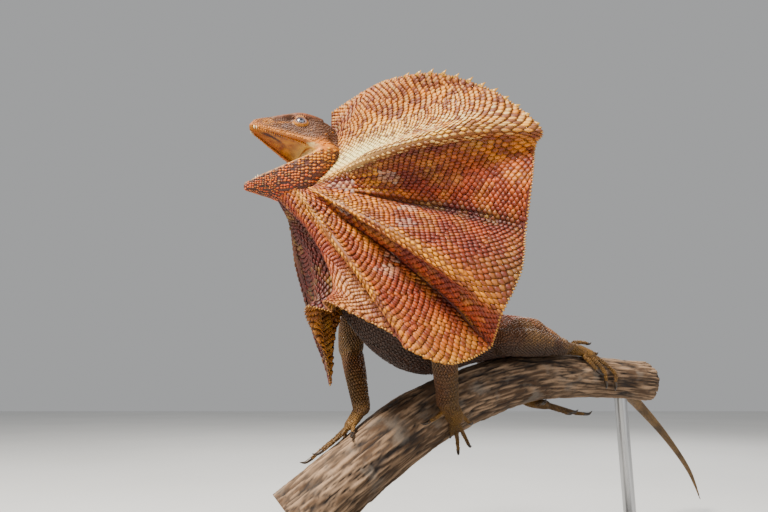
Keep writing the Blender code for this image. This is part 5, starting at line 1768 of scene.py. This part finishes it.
def make_perch(material):
    """The cut branch: rough bark in lengthwise furrows, and pale ends with growth rings."""
    rings, sides, caps = 300, 150, 8
    last = len(PERCH_LINE) - 1
    rows = [(x, y, z, radius, radius, radius) for x, y, z, radius in PERCH_LINE]
    sections = [section_at(rows, last * i / (rings - 2 * caps), UP) for i in range(rings - 2 * caps + 1)]

    def bark(at, turn):
        twist = turn + 0.10 * at
        ring = Vector((math.cos(twist), math.sin(twist), 0))
        strips = noise.noise(Vector((ring.x * 5.2, ring.y * 5.2, at * 1.1)))
        fine = noise.noise(Vector((ring.x * 13, ring.y * 13, at * 3.6 + 20)))
        pits = noise.noise(Vector((ring.x * 16, ring.y * 16, at * 22 + 50)))
        crack = max(0.0, 1 - abs(strips) * 7)
        split = max(0.0, 1 - abs(fine) * 6)
        return -1.25 * crack - 0.55 * split + 0.5 * fine + 0.22 * pits, crack, split, fine

    def place(ring, turn):
        if ring < caps or ring > rings - caps:
            share = min(ring, rings - ring) / caps
            section = sections[0 if ring < caps else -1]
            at = 0.0 if ring < caps else float(last)
            relief = bark(at, turn)[0] * share
            swell = bark_swell(at, turn)
            return section_point(section, turn, relief, 2.0, share * swell)
        index = ring - caps
        at = last * index / (rings - 2 * caps)
        return section_point(sections[index], turn, bark(at, turn)[0], 2.0, bark_swell(at, turn))

    bm = moved_ball(rings, sides, place)
    bmesh.ops.triangulate(bm, faces=[face for face in bm.faces if len(face.verts) > 4])
    first, final = sections[0], sections[-1]
    colours = []
    tree = KDTree(len(sections))
    for i, section in enumerate(sections):
        tree.insert(section[0], i)
    tree.balance()
    for vert in bm.verts:
        ends = [(vert.co - cap[0]) for cap in (first, final)]
        cut = [abs(end.dot(cap[1])) < 0.02 and end.length < cap[4][0] * 0.93
               for end, cap in zip(ends, (first, final))]
        if any(cut):
            radius = ends[0 if cut[0] else 1].length
            ring = 0.5 + 0.5 * math.sin(radius * 3.4 + noise.noise(vert.co * 0.3) * 2)
            colours.append(mixed(paint(176, 138, 96), paint(128, 92, 58), ring))
            continue
        _, index, _ = tree.find(vert.co)
        section = sections[index]
        offset = vert.co - section[0]
        turn = math.atan2(offset.dot(section[3]), offset.dot(section[2]))
        _, crack, split, fine = bark(last * index / (len(sections) - 1), turn)
        worn = 0.5 + 1.1 * noise.noise(Vector((vert.co.x * 0.02, vert.co.y * 0.03, vert.co.z * 0.05)))
        tone = mixed(paint(78, 58, 42), paint(176, 150, 128), 0.45 * worn + 0.20 + 1.0 * fine)
        # Painted shade in the furrows and splits of the bark.
        tone = mixed(tone, paint(20, 13, 9), crack)
        colours.append(mixed(tone, paint(30, 20, 14), split * 0.8))
    piece = object_of("branch", bm, material)
    mark(piece, np.array(colours))
    dress(piece, ["perch"])


def make_stand():
    """The base and rods keep their solids and get finer finishes, with a steel collar at each rod."""
    base = plain_material("satin_black", (0.012, 0.012, 0.013), (0.022, 0.022, 0.023), 900.0, 0.38)
    steel = plain_material("brushed_steel", (0.42, 0.42, 0.43), (0.56, 0.56, 0.56), 700.0, 0.30, 1.0,
                           (1, 1, 0.04), 0.08)
    for name, finish in (("stand_base", base), ("stand_rod_front", steel), ("stand_rod_back", steel)):
        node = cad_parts[name]
        node.data.materials.clear()
        node.data.materials.append(finish)
    for suffix in ("front", "back"):
        low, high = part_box("stand_rod_" + suffix)
        centre = (low + high) / 2 / MM
        bm = bmesh.new()
        profile = ((ROD_RADIUS + 0.05, 0.0), (ROD_RADIUS + 4.5, 0.0), (ROD_RADIUS + 4.5, 2.2),
                   (ROD_RADIUS + 3.9, 2.8), (ROD_RADIUS + 0.9, 3.2), (ROD_RADIUS + 0.05, 2.8))
        verts = [bm.verts.new((radius, 0, height)) for radius, height in profile]
        for a, b in zip(verts, verts[1:] + verts[:1]):
            bm.edges.new((a, b))
        bmesh.ops.spin(bm, geom=bm.edges[:], cent=(0, 0, 0), axis=(0, 0, 1), angle=2 * math.pi, steps=48,
                       use_merge=True)
        bmesh.ops.remove_doubles(bm, verts=bm.verts, dist=0.0005)
        face_outward(bm)
        bmesh.ops.translate(bm, vec=(centre.x, centre.y, BASE_THICKNESS + 0.02), verts=bm.verts)
        collar = object_of("rod_collar_" + suffix, bm, steel)
        dress(collar)


def build():
    set_stage()
    scale_finish = hide_material("scaled_hide", 0.55, 1600.0, 0.35)
    skin_finish = hide_material("soft_hide", 0.62, 1200.0, 0.5, 0.1)
    horn_finish = hide_material("horn", 0.38, 900.0, 0.15)
    wet_finish = hide_material("wet_flesh", 0.30, 700.0, 0.25)
    eye_finish = hide_material("wet_eye", 0.14, 2500.0, 0.0, 0.0, 1.0)
    shader_of(eye_finish).inputs["Coat Roughness"].default_value = 0.03

    parts, nails = body_parts()
    bm = make_skin(parts)
    tree, samples = nearest_parts(parts)
    colours = np.array([skin_tone(vert.co, vert.normal, tree, samples) for vert in bm.verts])
    skin_tree = BVHTree.FromBMesh(bm)
    skin = object_of("skin", bm, skin_finish)
    mark(skin, colours)
    flesh_nodes = ["torso", "neck", "head", "lower_jaw", "tail_1", "tail_2", "tail_3", "tail_4"]
    for name in ("upper_arm", "forearm", "hand", "thigh", "shin", "foot"):
        flesh_nodes += [name + "_left", name + "_right"]
    dress(skin, flesh_nodes)

    sower = Sower(skin_tree)
    coats = {name: Coat() for name in ("head", "trunk", "tail", "limb", "hand")}
    grow_head_scales(sower, coats["head"])
    grow_jaw_scales(sower, coats["head"])
    grow_body_scales(parts, sower, coats)
    for name, coat in coats.items():
        dress(coat.build(name + "_scales", scale_finish))

    for side, suffix in ((1, "left"), (-1, "right")):
        make_eye(side, suffix, eye_finish)
        make_frill(side, suffix, scale_finish)
    make_rim_spines(horn_finish)
    make_claws(nails, horn_finish)
    make_teeth(horn_finish)
    make_tongue(wet_finish)
    make_perch(bark_material())
    make_stand()


build()
